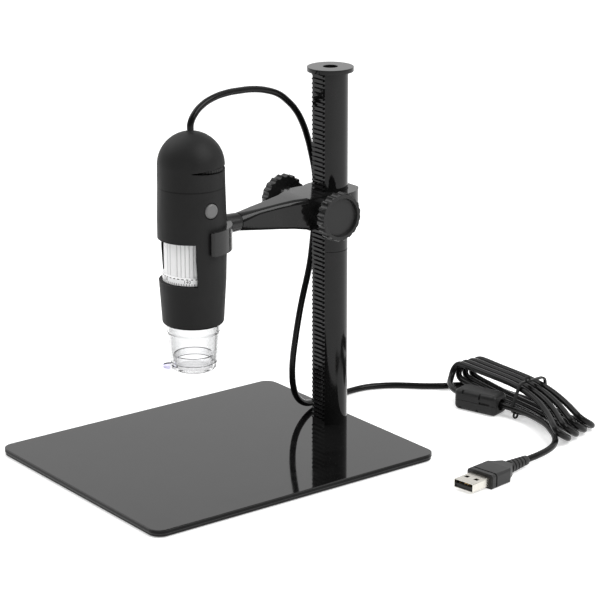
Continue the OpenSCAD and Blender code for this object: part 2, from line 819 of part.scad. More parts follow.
module nose_cone() {
    in_r = nose_tip_d / 2 - nose_wall;
    step_r = neck_r - 0.5;
    color("white", 0.35) at_head() rotate_extrude() polygon([
        [neck_r, body_z + neck_l], [neck_r, collar_lo + 1.8], [step_r, collar_lo], [nose_tip_d / 2, nose_lo],
        [in_r, nose_lo], [step_r - nose_wall, collar_lo], [neck_r - nose_wall, collar_lo + 1.8],
        [neck_r - nose_wall, body_z + neck_l]
    ]);
}

module nose_cap() {
    plug_r = nose_tip_d / 2 - nose_wall - fit_gap;
    r = nose_tip_d / 2;
    low = nose_lo - nose_cap_h;
    tab_w = 6;
    tab_t = 1.6;
    color("white", 0.35) at_head() {
        rotate_extrude() polygon(concat(
            [[0, low], [r - 2.2, low]], arc(r - 2.4, low + 1.8, 1.8, -80, 0, 6),
            [[r - 0.1, nose_lo], [plug_r, nose_lo], [plug_r, nose_lo + cap_plug_h],
             [plug_r - 1.2, nose_lo + cap_plug_h], [plug_r - 1.2, low + 1.4], [0, low + 1.4]]
        ));
        rotate(tab_dir) translate([0, 0, low + 0.4]) linear_extrude(tab_t) {
            translate([r - 4, -tab_w / 2]) square([tab_reach - r + 4 - tab_w / 2, tab_w]);
            translate([tab_reach - tab_w / 2, 0]) circle(d = tab_w, $fn = 48);
        }
    }
}

// Cord: a tube of n sides swept along a list of points
function unit(v) = v / norm(v);
function tangents(p) = [for (i = [0 : len(p) - 1]) unit(p[min(i + 1, len(p) - 1)] - p[max(i - 1, 0)])];
function square_to(v, t) = unit(v - (v * t) * t);
function normals(t, start) = [
    for (i = 0, n = square_to(start, t[0]); i < len(t);
        i = i + 1, n = i < len(t) ? square_to(n, t[i]) : n) n
];

module tube(path, r, n, start = [1, 0, 0]) {
    t = tangents(path);
    m = normals(t, start);
    last = len(path) - 1;
    points = [
        for (i = [0 : last], k = [0 : n - 1]) let (a = 360 * k / n)
            path[i] + r * (cos(a) * m[i] + sin(a) * cross(t[i], m[i]))
    ];
    sides = [
        for (i = [0 : last - 1], k = [0 : n - 1]) let (a = i * n + k, b = i * n + (k + 1) % n)
            each [[a, a + n, b + n], [a, b + n, b]]
    ];
    caps = [for (k = [1 : n - 2]) each [[0, k, k + 1], [last * n, last * n + k + 1, last * n + k]]];
    polyhedron(points = points, faces = concat(sides, caps));
}

// Free stretch from the head, over to the column, down to the hub
cord_upper_route = [
    [0, -13.6, gland_top + end_gap], [0, -13.4, gland_top + cord_d], [-0.6, -10.4, 178.6], [-1.8, -5, 182],
    [-3, 2, 184.2], [-4.4, 11, 185.2], [-5.8, 20, 185], [-7.2, 29.4, 184.2], [-8.4, 38.4, 182.2],
    [-9.6, 46.6, 179], [-11, 53, 174.6], [-12.4, 59.4, 168.6], [-13.6, 64.6, 161], [-14.8, 68.6, 152.8],
    [-15.8, 71.8, 144], [-16.6, 74.4, 135], [-17, 75.6, 128], [-17, 75.6, 124.2], [-17, 75.6, 120.8]
];

// Free stretch from the hub, down beside the column and over the table
cord_lower_route = [
    [-17, 75.6, 120.8], [-17, 75.6, 117.4], [-16.8, 75, 109], [-16.4, 73.6, 101], [-16.2, 72.4, 93],
    [-16, 71, 85.6], [-16, 69.2, 78.4], [-16, 67, 70.8], [-16, 64.8, 62.4], [-16, 63, 54],
    [-16, 61.4, 45.6], [-16, 60, 37], [-16, 59.4, 28.4], [-16, 60.2, 20], [-16.6, 62.8, 14],
    [-17.8, 67.2, 9.8], [-19.8, 73.2, 7.2], [-22.6, 80.4, 6.2], [-26, 88.5, 5.6], [-29.4, 97, 3.8],
    [-32.2, 105.4, 2.2], [-33.6, 114, 1.8], [-33, 122.6, 1.8], [-30, 130.4, 1.8], [-25.6, 137.4, 1.8],
    [-20.4, 143.2, 1.8], [-15.8, 148, 1.8], [-11.8, 153, 1.8], [-8.2, 158.4, 1.8], [-5, 164.4, 1.8],
    [-0.6, 170.2, 1.8], [5.2, 174.8, 1.8], [11.4, 177, 1.8]
];

module cord_upper() { color("#1d1d1e") tube(cord_upper_route, cord_r, 8); }

// Hank: loops that stand on edge, side by side from the back to the front; the last
// run goes through the ferrite
hank_x = 45.5;
hank_y = 168.5;
hank_first = 0.06;    // turn at which the hank begins
hank_last = 4.2;      // turn at which it ends
hank_spread = [0.1, 0.8];    // how far the loops fan out at the left and right ends
hank_lean = [0.45, -1.4];     // how far they lean towards +Y there
hank_bend = 11;       // the right end turns towards -Y
hank_short = 2;       // each loop is shorter at the right end than the one before it
hank_prop = ferrite_h / 2 - cord_r;   // the left ends lie over the cord that comes in
tie_u = 4;            // place of the tie along the hank
tie_room = cord_r + 0.7;
table_gap = 0.05;
rings = 24;           // rings in one turn
ferrite_at = 4.08;    // turn at which the ferrite sits
ferrite_out = ferrite_w / 2 + cord_d + 2.9;

function smooth(s) = let (c = min(max(s, 0), 1)) c * c * (3 - 2 * c);
function run_low(t, u) =
    t < 0.5 ? 0 :
    t > 3.9 ? hank_prop * (1 - smooth((u - 30) / 20)) :
    hank_prop * (1 - smooth((u + 38) / 26));
function run_high(u) = hank_high + (hank_low - hank_high) * smooth((u + 20) / 70);
function swing_out(t) = ferrite_out * (smooth((t - 3.95) / 0.09) - smooth((t - 4.04) / 0.13));
function tie_lift(u) = abs(u - tie_u) < 30 ? (tie_room - cord_r + tie_t) * pow(cos(3 * (u - tie_u)), 2) : 0;
function right_r() = run_high(hank_half) / 2;
function left_r() = (run_high(-hank_half) - hank_prop) / 2;
// Place along the hank and height, through one loop
function loop_at(t) =
    let (f = t - floor(t), h = hank_half)
    f < 0.25 ? let (u = -h + 8 * h * f) [u, run_low(t, u)] :
    f < 0.5 ? let (r = right_r(), a = 720 * (f - 0.25)) [h + r * sin(a), r * (1 - cos(a))] :
    f < 0.75 ? let (u = h - 8 * h * (f - 0.5)) [u, run_high(u)] :
    let (r = left_r(), a = 720 * (f - 0.75)) [-h - r * sin(a), run_high(-h) - r * (1 - cos(a))];
function hank_point(t) =
    let (p = loop_at(t), u = p[0], side = u < 0 ? 0 : 1, e = pow(u / 50, 2),
         fan = hank_step * (2.15 - t) * (1 + hank_spread[side] * e),
         lean = hank_lean[side] * e * e * (p[1] - run_high(u) / 2))
        [hank_x + u - side * hank_short * (3.4 - t) * u / hank_half,
         hank_y + fan + lean - side * hank_bend * e - swing_out(t),
         cord_r + table_gap + p[1] + (t < 3.9 ? tie_lift(u) : 0)];
function hank_path(n) = concat([hank_point(hank_first)],
    [for (i = [ceil(hank_first * n + 0.3) : floor(hank_last * n - 0.3)]) hank_point(i / n)], [hank_point(hank_last)]);
function ahead(t) = let (v = hank_point(t + 0.004) - hank_point(t - 0.004)) v / norm(v);

// Least gap between turns, on points
function least_gap(p, n) = min([
    for (i = [0 : len(p) - 1], j = [i + round(n / 3) : len(p) - 1]) if (j < len(p)) norm(p[i] - p[j])
]) - cord_d;

module cord_hank() {
    color("#1d1d1e") tube(hank_path(rings), cord_r, 6, [0, 1, 0]);
    echo(hank_least_gap = least_gap(hank_path(72), 72));
}

module cord_lower() {
    start = hank_point(hank_first);
    color("#1d1d1e") tube(concat(cord_lower_route,
        [start - cord_d * ahead(hank_first), start - end_gap * ahead(hank_first)]), cord_r, 8);
}

// Plug
plug_x = 110.6;
plug_y = 78.7;
plug_dir = 8.5;
plug_z = grip_h / 2;

module at_plug() { translate([plug_x, plug_y, plug_z]) rotate(plug_dir) children(); }
function from_plug(y) = [plug_x - y * sin(plug_dir), plug_y + y * cos(plug_dir), plug_z];

cord_tail_route = [
    [83.4, 150.9, 5], [90.6, 147, 4.3], [96.6, 141.4, 3.9], [100.6, 134.8, 3.8]
];

module cord_tail() {
    start = hank_point(hank_last);
    relief = grip_l + relief_l;
    path = concat([start + end_gap * ahead(hank_last), start + cord_d * ahead(hank_last)], cord_tail_route,
        [from_plug(relief + 2.6 * cord_d), from_plug(relief + cord_d), from_plug(relief)]);
    color("#1d1d1e") tube(path, cord_r, 8);
}

// Tie around the loops, with its small twisted end
tie_f = (tie_u + hank_half) / (8 * hank_half);
tie_low = [for (k = [0 : 4]) hank_point(k + tie_f)];
tie_high = [for (k = [0 : 3]) hank_point(k + 0.75 - tie_f)];

module tie_hull(r) {
    hull() for (p = concat(tie_low, tie_high)) translate([p[1], p[2]]) circle(r, $fn = 24);
}

module cord_tie() {
    front = tie_high[3];
    foot = tie_low[4];
    color("#121212") translate([hank_x + tie_u, 0, 0]) {
        rotate([90, 0, 90]) linear_extrude(tie_w, center = true) difference() {
            tie_hull(tie_room + tie_t);
            tie_hull(tie_room);
        }
        for (p = [front + [0, 2.5, tie_room + tie_t + 1.2], foot - [0, 1.2, 3.6]])
            translate([1, p[1], p[2]]) rotate([0, 90, 0])
                rotate_extrude() translate([1.4, 0]) circle(d = 1.2, $fn = 24);
    }
}

// Snap-on ferrite around one run of the hank
ferrite_bore = cord_d + 2.6;
ferrite_wall = 1.5;
core_r = ferrite_h / 2 - ferrite_wall;

module at_ferrite() {
    ends = [hank_point(ferrite_at - 0.034), hank_point(ferrite_at + 0.034)];
    way = ends[1] - ends[0];
    place = (ends[0] + ends[1] + hank_point(ferrite_at)) / 3;
    translate([place[0], place[1], ferrite_h / 2 + table_gap]) rotate(atan2(way[1], way[0])) children();
}

module ferrite_half(z0, z1) {
    core_l = ferrite_l - 2 * ferrite_wall;
    difference() {
        intersection() {
            translate([0, 0, -ferrite_h / 2]) linear_extrude(ferrite_h) rounded_rect(ferrite_l, ferrite_w, 2.5);
            rotate([90, 0, 90]) translate([0, 0, -ferrite_l / 2]) linear_extrude(ferrite_l)
                rounded_rect(ferrite_w, ferrite_h, 2);
            translate([-ferrite_l, -ferrite_w, z0]) cube([2 * ferrite_l, 2 * ferrite_w, z1 - z0]);
        }
        rod_x(ferrite_bore / 2, -ferrite_l, ferrite_l);
        rod_x(core_r + fit_gap, -core_l / 2 - fit_gap, core_l / 2 + fit_gap);
    }
}

module ferrite_case() { color("#232324") at_ferrite() ferrite_half(-ferrite_h / 2, 0); }
module ferrite_cover() { color("#232324") at_ferrite() ferrite_half(0, ferrite_h / 2); }

module ferrite_core() {
    core_l = ferrite_l - 2 * ferrite_wall;
    color("#4a4a4c") at_ferrite() difference() {
        rod_x(core_r, -core_l / 2, core_l / 2);
        rod_x(ferrite_bore / 2, -ferrite_l, ferrite_l);
    }
}

// Plug pieces: the mouth faces -Y in the plug's own frame
shell_in = 8;         // shell length inside the overmould
flange_l = 2.4;       // front flange of the overmould
groove_l = 0.9;       // groove behind the flange
block_l = grip_l - 7.6;   // length before the overmould narrows
relief_ribs = 5;

module grip_section(w, h, r, y0, y1) {
    translate([0, y1, 0]) rotate([90, 0, 0]) linear_extrude(y1 - y0) rounded_rect(w, h, r);
}

// Outline of the block that narrows to half width e at its end
function narrowing(w, e) = [
    [-w, 0], [w, 0], [w, block_l], [e + (w - e) * 0.45, block_l + (grip_l - block_l) * 0.4], [e, grip_l],
    [-e, grip_l], [-e - (w - e) * 0.45, block_l + (grip_l - block_l) * 0.4], [-w, block_l]
];

module usb_overmould() {
    root_r = 3.3;
    end_r = cord_r + 0.7;
    rib_pitch = (relief_l - 2) / relief_ribs;
    color("#2b2b2c") at_plug() difference() {
        union() {
            grip_section(grip_w, grip_h, 1.6, 0, flange_l);
            grip_section(grip_w - 1.2, grip_h - 1.2, 1.2, flange_l - 1, flange_l + groove_l + 1);
            intersection() {
                grip_section(grip_w, grip_h, 1.6, flange_l + groove_l, grip_l);
                translate([0, 0, -grip_h]) linear_extrude(2 * grip_h) polygon(narrowing(grip_w / 2, root_r));
                rotate([90, 0, 90]) translate([0, 0, -grip_w]) linear_extrude(2 * grip_w)
                    polygon([for (q = narrowing(grip_h / 2, root_r - 0.2)) [q[1], q[0]]]);
            }
            rotate([-90, 0, 0]) rotate_extrude() polygon(concat(
                [[0, grip_l - 1], [root_r - 0.5, grip_l - 1]],
                [for (i = [0 : relief_ribs - 1])
                    let (y = grip_l + i * rib_pitch, r = root_r + (end_r - root_r) * i / relief_ribs)
                        each [[r - 0.6, y + 0.1], [r - 0.6, y + 0.9], [r, y + 1], [r, y + rib_pitch]]],
                [[end_r, grip_l + relief_l - 0.6], [end_r - 0.4, grip_l + relief_l], [0, grip_l + relief_l]]
            ));
        }
        grip_section(usb_w + 2 * fit_gap, usb_h + 2 * fit_gap, 0.6, -1, shell_in);
    }
}

module usb_shell() {
    hole = 2.3;
    color("#d9d4c8") at_plug() difference() {
        grip_section(usb_w, usb_h, 0.6, -usb_l, shell_in);
        grip_section(usb_w - 2 * usb_wall, usb_h - 2 * usb_wall, 0.15, -usb_l - 1, shell_in + 1);
        for (sx = [-1, 1]) translate([sx * usb_w / 4 - hole / 2, -usb_l / 2 - hole / 2, -usb_h])
            cube([hole, hole, 2 * usb_h]);
    }
}

tongue_t = 1.84;

module usb_tongue() {
    w = usb_w - 2 * usb_wall - 2 * fit_gap;
    low = -usb_h / 2 + usb_wall + fit_gap;
    color("#e9e9e6") at_plug() {
        translate([-w / 2, -usb_l + 0.6, low]) cube([w, usb_l + shell_in - 0.8, tongue_t]);
        translate([-w / 2, shell_in - 4, low]) cube([w, 3.8, usb_h - 2 * usb_wall - 2 * fit_gap]);
    }
}

module usb_contacts() {
    low = -usb_h / 2 + usb_wall + fit_gap + tongue_t;
    color("gold") at_plug() for (x = [-3.5, -1, 1, 3.5])
        translate([x - 0.5, -usb_l + (abs(x) > 2 ? 1.2 : 2.2), low]) cube([1, usb_l + shell_in - 6.4, 0.15]);
}

base_plate();
base_weight();
rubber_feet();
base_screw();
column_lower();
column_upper();
column_cap();
carriage_arm();
pinion_bushes();
knob_washers();
swivel_washer();
swivel_screw();
pinion_shaft();
pinion_gear();
knob_left();
knob_right();
holder_clip();
swivel_pin();
head_dome();
head_body();
cord_gland();
main_board();
image_sensor();
switch_board();
tact_switch();
dimmer_pot();
lens_sleeve();
led_board();
leds();
nose_cone();
snapshot_button();
focus_wheel();
lens_barrel();
lens_glass();
dimmer_wheel();
nose_cap();
cord_upper();
cord_lower();
cord_hank();
cord_tail();
cord_tie();
ferrite_case();
ferrite_cover();
ferrite_core();
usb_overmould();
usb_shell();
usb_tongue();
usb_contacts();
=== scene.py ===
import json
import math

import bpy
from mathutils import Matrix, Vector

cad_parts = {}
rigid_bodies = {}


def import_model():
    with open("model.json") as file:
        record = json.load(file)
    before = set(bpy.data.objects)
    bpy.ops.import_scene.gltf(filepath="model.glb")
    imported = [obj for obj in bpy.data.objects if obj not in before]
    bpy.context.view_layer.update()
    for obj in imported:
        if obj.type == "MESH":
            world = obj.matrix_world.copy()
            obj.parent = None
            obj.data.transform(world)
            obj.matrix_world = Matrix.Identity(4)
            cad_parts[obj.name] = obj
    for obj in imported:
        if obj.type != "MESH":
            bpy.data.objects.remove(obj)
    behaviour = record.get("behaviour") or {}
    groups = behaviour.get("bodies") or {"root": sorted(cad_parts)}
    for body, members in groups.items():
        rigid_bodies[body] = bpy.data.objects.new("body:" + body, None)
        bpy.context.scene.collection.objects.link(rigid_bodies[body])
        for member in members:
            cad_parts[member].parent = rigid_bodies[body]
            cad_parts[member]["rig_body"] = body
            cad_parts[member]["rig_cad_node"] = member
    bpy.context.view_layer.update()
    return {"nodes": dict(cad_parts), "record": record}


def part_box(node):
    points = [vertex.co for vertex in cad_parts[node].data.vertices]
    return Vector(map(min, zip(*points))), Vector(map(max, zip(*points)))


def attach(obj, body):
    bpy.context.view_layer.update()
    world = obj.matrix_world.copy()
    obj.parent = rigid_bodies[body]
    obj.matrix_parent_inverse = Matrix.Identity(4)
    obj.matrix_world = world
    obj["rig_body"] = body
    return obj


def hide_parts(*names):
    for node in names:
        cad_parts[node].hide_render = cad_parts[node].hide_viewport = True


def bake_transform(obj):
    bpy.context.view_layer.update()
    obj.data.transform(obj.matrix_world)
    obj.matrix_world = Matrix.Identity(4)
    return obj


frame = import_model()
nodes = frame["nodes"]
bodies = frame["record"]["behaviour"]["bodies"]
bodyOf = {node: body for body, members in bodies.items() for node in members}
scene = bpy.context.scene
mm = 0.001
print("frame loaded:", len(nodes), "nodes")


# camera: the photograph's own view, fitted to the plate and the column
cameraSet = {
    "target": (0.0, 52.4, 73.0),    # mm
    "azimuth": 52.789,              # degrees
    "elevation": 17.296,
    "roll": -0.105,
    "distance": 1216.0,             # mm
    "lens": 143.37,                 # mm, on a sensor as wide as the picture
    "sensor": 36.0,
    "nearest": 50.0,
}


def placeCamera(s):
    az, el, roll = (math.radians(s[k]) for k in ("azimuth", "elevation", "roll"))
    back = Vector((math.sin(az) * math.cos(el), -math.cos(az) * math.cos(el), math.sin(el)))
    side = Vector((math.cos(az), math.sin(az), 0.0))
    up = back.cross(side)
    right = side * math.cos(roll) + up * math.sin(roll)
    up = up * math.cos(roll) - side * math.sin(roll)
    place = (Vector(s["target"]) + back * s["distance"]) * mm
    bpy.ops.object.camera_add()
    camera = bpy.context.object
    camera.name = "photoCamera"
    camera.matrix_world = Matrix.Translation(place) @ Matrix((right, up, back)).transposed().to_4x4()
    camera.data.lens = s["lens"]
    camera.data.sensor_width = s["sensor"]
    camera.data.clip_start = s["nearest"] * mm
    scene.camera = camera
    return back


towardsCamera = placeCamera(cameraSet)
print("camera placed")


# studio: pale floor, white surroundings, soft lamps
studio = {
    "floorSize": 6.0,               # m
    "floorCuts": 8,
    "floorColour": (0.86, 0.86, 0.86),
    "floorRough": 0.9,
    "floorGlow": 0.40,
    "worldLow": 0.42,               # light from the camera's side
    "worldHigh": 0.78,              # light from behind and above
    "worldRise": 0.9,               # how far up the bright side lies
    "mirrorLow": 0.22,              # what reflections see on the camera's side
    "mirrorHigh": 1.0,              # and what they see behind the object
    "turnRange": (-0.6, 0.5),       # where the change from low to high begins and ends
    "lampAim": (0, 0.06, 0.08),     # m
    "keyLamp": {"place": (0.75, 0.35, 0.95), "size": 0.8, "power": 11.0},       # m and W
    "fillLamp": {"place": (-0.55, -0.25, 0.9), "size": 0.9, "power": 5.0},
}


# sets sockets by their names, with _ for each space
def inputsOf(node, **values):
    for name, value in values.items():
        node.inputs[name.replace("_", " ")].default_value = value


# 1 for the rays that see the background: camera, glossy and transmission
def backdropRays(tree):
    path = tree.nodes.new("ShaderNodeLightPath")
    found = path.outputs["Is Camera Ray"]
    for ray in ("Is Glossy Ray", "Is Transmission Ray"):
        either = tree.nodes.new("ShaderNodeMath")
        either.operation = "MAXIMUM"
        tree.links.new(found, either.inputs[0])
        tree.links.new(path.outputs[ray], either.inputs[1])
        found = either.outputs[0]
    return found


def makeFloor(s):
    bpy.ops.mesh.primitive_plane_add(size=s["floorSize"], location=(0, 0, 0))
    floor = bpy.context.object
    floor.name = "studioFloor"
    bpy.ops.object.mode_set(mode="EDIT")
    bpy.ops.mesh.subdivide(number_cuts=s["floorCuts"])
    bpy.ops.object.mode_set(mode="OBJECT")
    paint = bpy.data.materials.new("floorPaper")
    paint.use_nodes = True
    tree = paint.node_tree
    shader = tree.nodes["Principled BSDF"]
    inputsOf(shader, Base_Color=(*s["floorColour"], 1), Roughness=s["floorRough"])
    # a paper white for the camera and for reflections, which keeps the shadow
    glow = tree.nodes.new("ShaderNodeMath")
    glow.operation = "MULTIPLY"
    glow.inputs[1].default_value = s["floorGlow"]
    tree.links.new(backdropRays(tree), glow.inputs[0])
    inputsOf(shader, Emission_Color=(1, 1, 1, 1))
    tree.links.new(glow.outputs[0], shader.inputs["Emission Strength"])
    floor.data.materials.append(paint)


# white for the camera, and for reflections white behind the object and dimmer on the camera's side
def makeWorld(s):
    world = bpy.data.worlds.new("studioWorld")
    scene.world = world
    world.use_nodes = True
    tree = world.node_tree
    background = tree.nodes["Background"]
    where = tree.nodes.new("ShaderNodeTexCoord")

    def levelTowards(aim, low, high):
        facing = tree.nodes.new("ShaderNodeVectorMath")
        facing.operation = "DOT_PRODUCT"
        facing.inputs[1].default_value = tuple(aim.normalized())
        tree.links.new(where.outputs["Generated"], facing.inputs[0])
        level = tree.nodes.new("ShaderNodeMapRange")
        inputsOf(level, From_Min=s["turnRange"][0], From_Max=s["turnRange"][1], To_Min=low, To_Max=high)
        tree.links.new(facing.outputs["Value"], level.inputs["Value"])
        return level.outputs["Result"]

    def choose(factor, plain, picked):
        mix = tree.nodes.new("ShaderNodeMix")
        mix.data_type = "FLOAT"
        tree.links.new(factor, mix.inputs["Factor"])
        tree.links.new(plain, mix.inputs["A"])
        if isinstance(picked, float):
            mix.inputs["B"].default_value = picked
        else:
            tree.links.new(picked, mix.inputs["B"])
        return mix.outputs["Result"]

    light = levelTowards(Vector((0, 0, s["worldRise"])) - towardsCamera, s["worldLow"], s["worldHigh"])
    behind = levelTowards(Vector((-towardsCamera.x, -towardsCamera.y, 0)), s["mirrorLow"], s["mirrorHigh"])
    seen = tree.nodes.new("ShaderNodeLightPath").outputs["Is Camera Ray"]
    strength = choose(seen, choose(backdropRays(tree), light, behind), 1.0)
    tree.links.new(strength, background.inputs["Strength"])
    inputsOf(background, Color=(1, 1, 1, 1))


def softLamp(name, aim, place, size, power):
    bpy.ops.object.light_add(type="AREA", location=place)
    lamp = bpy.context.object
    lamp.name = name
    lamp.data.shape = "RECTANGLE"
    lamp.data.size = lamp.data.size_y = size
    lamp.data.energy = power
    lamp.rotation_euler = (Vector(aim) - Vector(place)).to_track_quat("-Z", "Y").to_euler()


makeFloor(studio)
makeWorld(studio)
for lampName in ("keyLamp", "fillLamp"):
    softLamp(lampName, studio["lampAim"], **studio[lampName])
scene.view_settings.view_transform = "Standard"
print("studio ready")


# shared effects, one node group each
grainSet = {
    "scale": 4000, "detail": 3.0, "rough": 0.6,
    "patchScale": 60, "patchDetail": 5.0, "patchRough": 0.62, "patchWarp": 0.6,
    "patchRange": (0.36, 0.66),     # the noise at which a patch begins and is whole
    "bump": 0.6,
    "leastLift": 0.002,             # so that a black varies too
}
dustSet = {"scale": 900, "amount": 0.08, "colour": (0.2, 0.2, 0.19)}


def newGroup(name, inputs, outputs):
    group = bpy.data.node_groups.new(name, "ShaderNodeTree")
    for label, value in inputs:
        socket = group.interface.new_socket(label, in_out="INPUT", socket_type="NodeSocketFloat")
        socket.default_value = value
    for label in outputs:
        group.interface.new_socket(label, in_out="OUTPUT", socket_type="NodeSocketFloat")
    return group, group.nodes.new("NodeGroupInput"), group.nodes.new("NodeGroupOutput")


def noiseOn(group, coords, scale, detail, rough, warp=0.0):
    noise = group.nodes.new("ShaderNodeTexNoise")
    inputsOf(noise, Detail=detail, Roughness=rough, Distortion=warp)
    group.links.new(coords, noise.inputs["Vector"])
    group.links.new(scale, noise.inputs["Scale"])
    return noise.outputs["Fac"]


# fine mould texture as a height, and the soft patches that handling leaves as a mask
def mouldGrain(s):
    scales = [("Grain Scale", s["scale"]), ("Patch Scale", s["patchScale"])]
    group, source, sink = newGroup("mouldGrain", scales, ["Height", "Patches"])
    coords = group.nodes.new("ShaderNodeTexCoord").outputs["Object"]
    height = noiseOn(group, coords, source.outputs["Grain Scale"], s["detail"], s["rough"])
    group.links.new(height, sink.inputs["Height"])
    patches = noiseOn(group, coords, source.outputs["Patch Scale"],
                      s["patchDetail"], s["patchRough"], s["patchWarp"])
    spread = group.nodes.new("ShaderNodeMapRange")
    inputsOf(spread, From_Min=s["patchRange"][0], From_Max=s["patchRange"][1])
    group.links.new(patches, spread.inputs["Value"])
    group.links.new(spread.outputs["Result"], sink.inputs["Patches"])
    return group


# sparse specks of dust as a mask
def dustSpecks(s):
    group, source, sink = newGroup("dustSpecks", [("Scale", s["scale"]), ("Amount", s["amount"])], ["Specks"])
    coords = group.nodes.new("ShaderNodeTexCoord").outputs["Object"]
    cells = group.nodes.new("ShaderNodeTexVoronoi")
    group.links.new(coords, cells.inputs["Vector"])
    group.links.new(source.outputs["Scale"], cells.inputs["Scale"])
    inside = group.nodes.new("ShaderNodeMath")
    inside.operation = "LESS_THAN"
    group.links.new(cells.outputs["Distance"], inside.inputs[0])
    group.links.new(source.outputs["Amount"], inside.inputs[1])
    group.links.new(inside.outputs[0], sink.inputs["Specks"])
    return group


grainNodes = mouldGrain(grainSet)
dustNodes = dustSpecks(dustSet)


# a grey or a colour as a screen shows it, from 0 to 255, in linear light
def linearColour(grey):
    rgb = grey if isinstance(grey, tuple) else (grey, grey, grey)
    return tuple((c / 255 / 12.92) if c <= 10 else ((c / 255 + 0.055) / 1.055) ** 2.4 for c in rgb)


# a moulded or machined finish: colour as it shows, gloss range, grain as its scale and its depth in mm
def finish(name, colour, rough, grain=(4000, 0.004), patch=60, lift=0.12, metallic=0.0, ior=1.45, dust=0.0):
    look = bpy.data.materials.new(name)
    look.use_nodes = True
    tree = look.node_tree
    shader = tree.nodes["Principled BSDF"]
    surface = tree.nodes.new("ShaderNodeGroup")
    surface.node_tree = grainNodes
    inputsOf(surface, Grain_Scale=grain[0], Patch_Scale=patch)
    base = linearColour(colour)
    tone = tree.nodes.new("ShaderNodeMix")
    tone.data_type = "RGBA"
    tone.inputs["A"].default_value = (*base, 1)
    tone.inputs["B"].default_value = (*(min(1, c * (1 + lift) + grainSet["leastLift"]) for c in base), 1)
    tree.links.new(surface.outputs["Patches"], tone.inputs["Factor"])
    colourOut = tone.outputs["Result"]
    if dust:
        specks = tree.nodes.new("ShaderNodeGroup")
        specks.node_tree = dustNodes
        inputsOf(specks, Amount=dust)
        dusty = tree.nodes.new("ShaderNodeMix")
        dusty.data_type = "RGBA"
        dusty.inputs["B"].default_value = (*dustSet["colour"], 1)
        tree.links.new(specks.outputs["Specks"], dusty.inputs["Factor"])
        tree.links.new(colourOut, dusty.inputs["A"])
        colourOut = dusty.outputs["Result"]
    tree.links.new(colourOut, shader.inputs["Base Color"])
    gloss = tree.nodes.new("ShaderNodeMapRange")
    inputsOf(gloss, To_Min=rough[0], To_Max=rough[1])
    tree.links.new(surface.outputs["Patches"], gloss.inputs["Value"])
    tree.links.new(gloss.outputs["Result"], shader.inputs["Roughness"])
    bump = tree.nodes.new("ShaderNodeBump")
    inputsOf(bump, Strength=grainSet["bump"], Distance=grain[1] * mm)
    tree.links.new(surface.outputs["Height"], bump.inputs["Height"])
    tree.links.new(bump.outputs["Normal"], shader.inputs["Normal"])
    inputsOf(shader, Metallic=metallic, IOR=ior)
    return look


# clear plastic: darker where the wall is seen edge on, a painted shade for the darker surroundings that its
# edges show
clearWall = {
    "grey": 240, "grain": (900, 0.001), "patch": 90, "roughSpread": 0.02,
    "edgeBlend": 0.45, "edgeShade": 0.34, "coatRough": 0.02,
}


def clearFinish(name, tint, rough, ior, gloss=0.0):
    s = clearWall
    look = finish(name, s["grey"], (rough, rough + s["roughSpread"]), s["grain"], s["patch"], ior=ior)
    tree = look.node_tree
    shader = tree.nodes["Principled BSDF"]
    edgeOn = tree.nodes.new("ShaderNodeLayerWeight")
    inputsOf(edgeOn, Blend=s["edgeBlend"])
    # painted shade: the wall's tint mixed towards a darker grey as the wall turns edge on
    depth = tree.nodes.new("ShaderNodeMix")
    depth.data_type = "RGBA"
    depth.inputs["A"].default_value = (*tint, 1)
    depth.inputs["B"].default_value = (*(s["edgeShade"] * c for c in tint), 1)
    tree.links.new(edgeOn.outputs["Facing"], depth.inputs["Factor"])
    tree.links.new(depth.outputs["Result"], shader.inputs["Base Color"])
    inputsOf(shader, Transmission_Weight=1.0, Coat_Weight=gloss, Coat_Roughness=s["coatRough"])
    return look


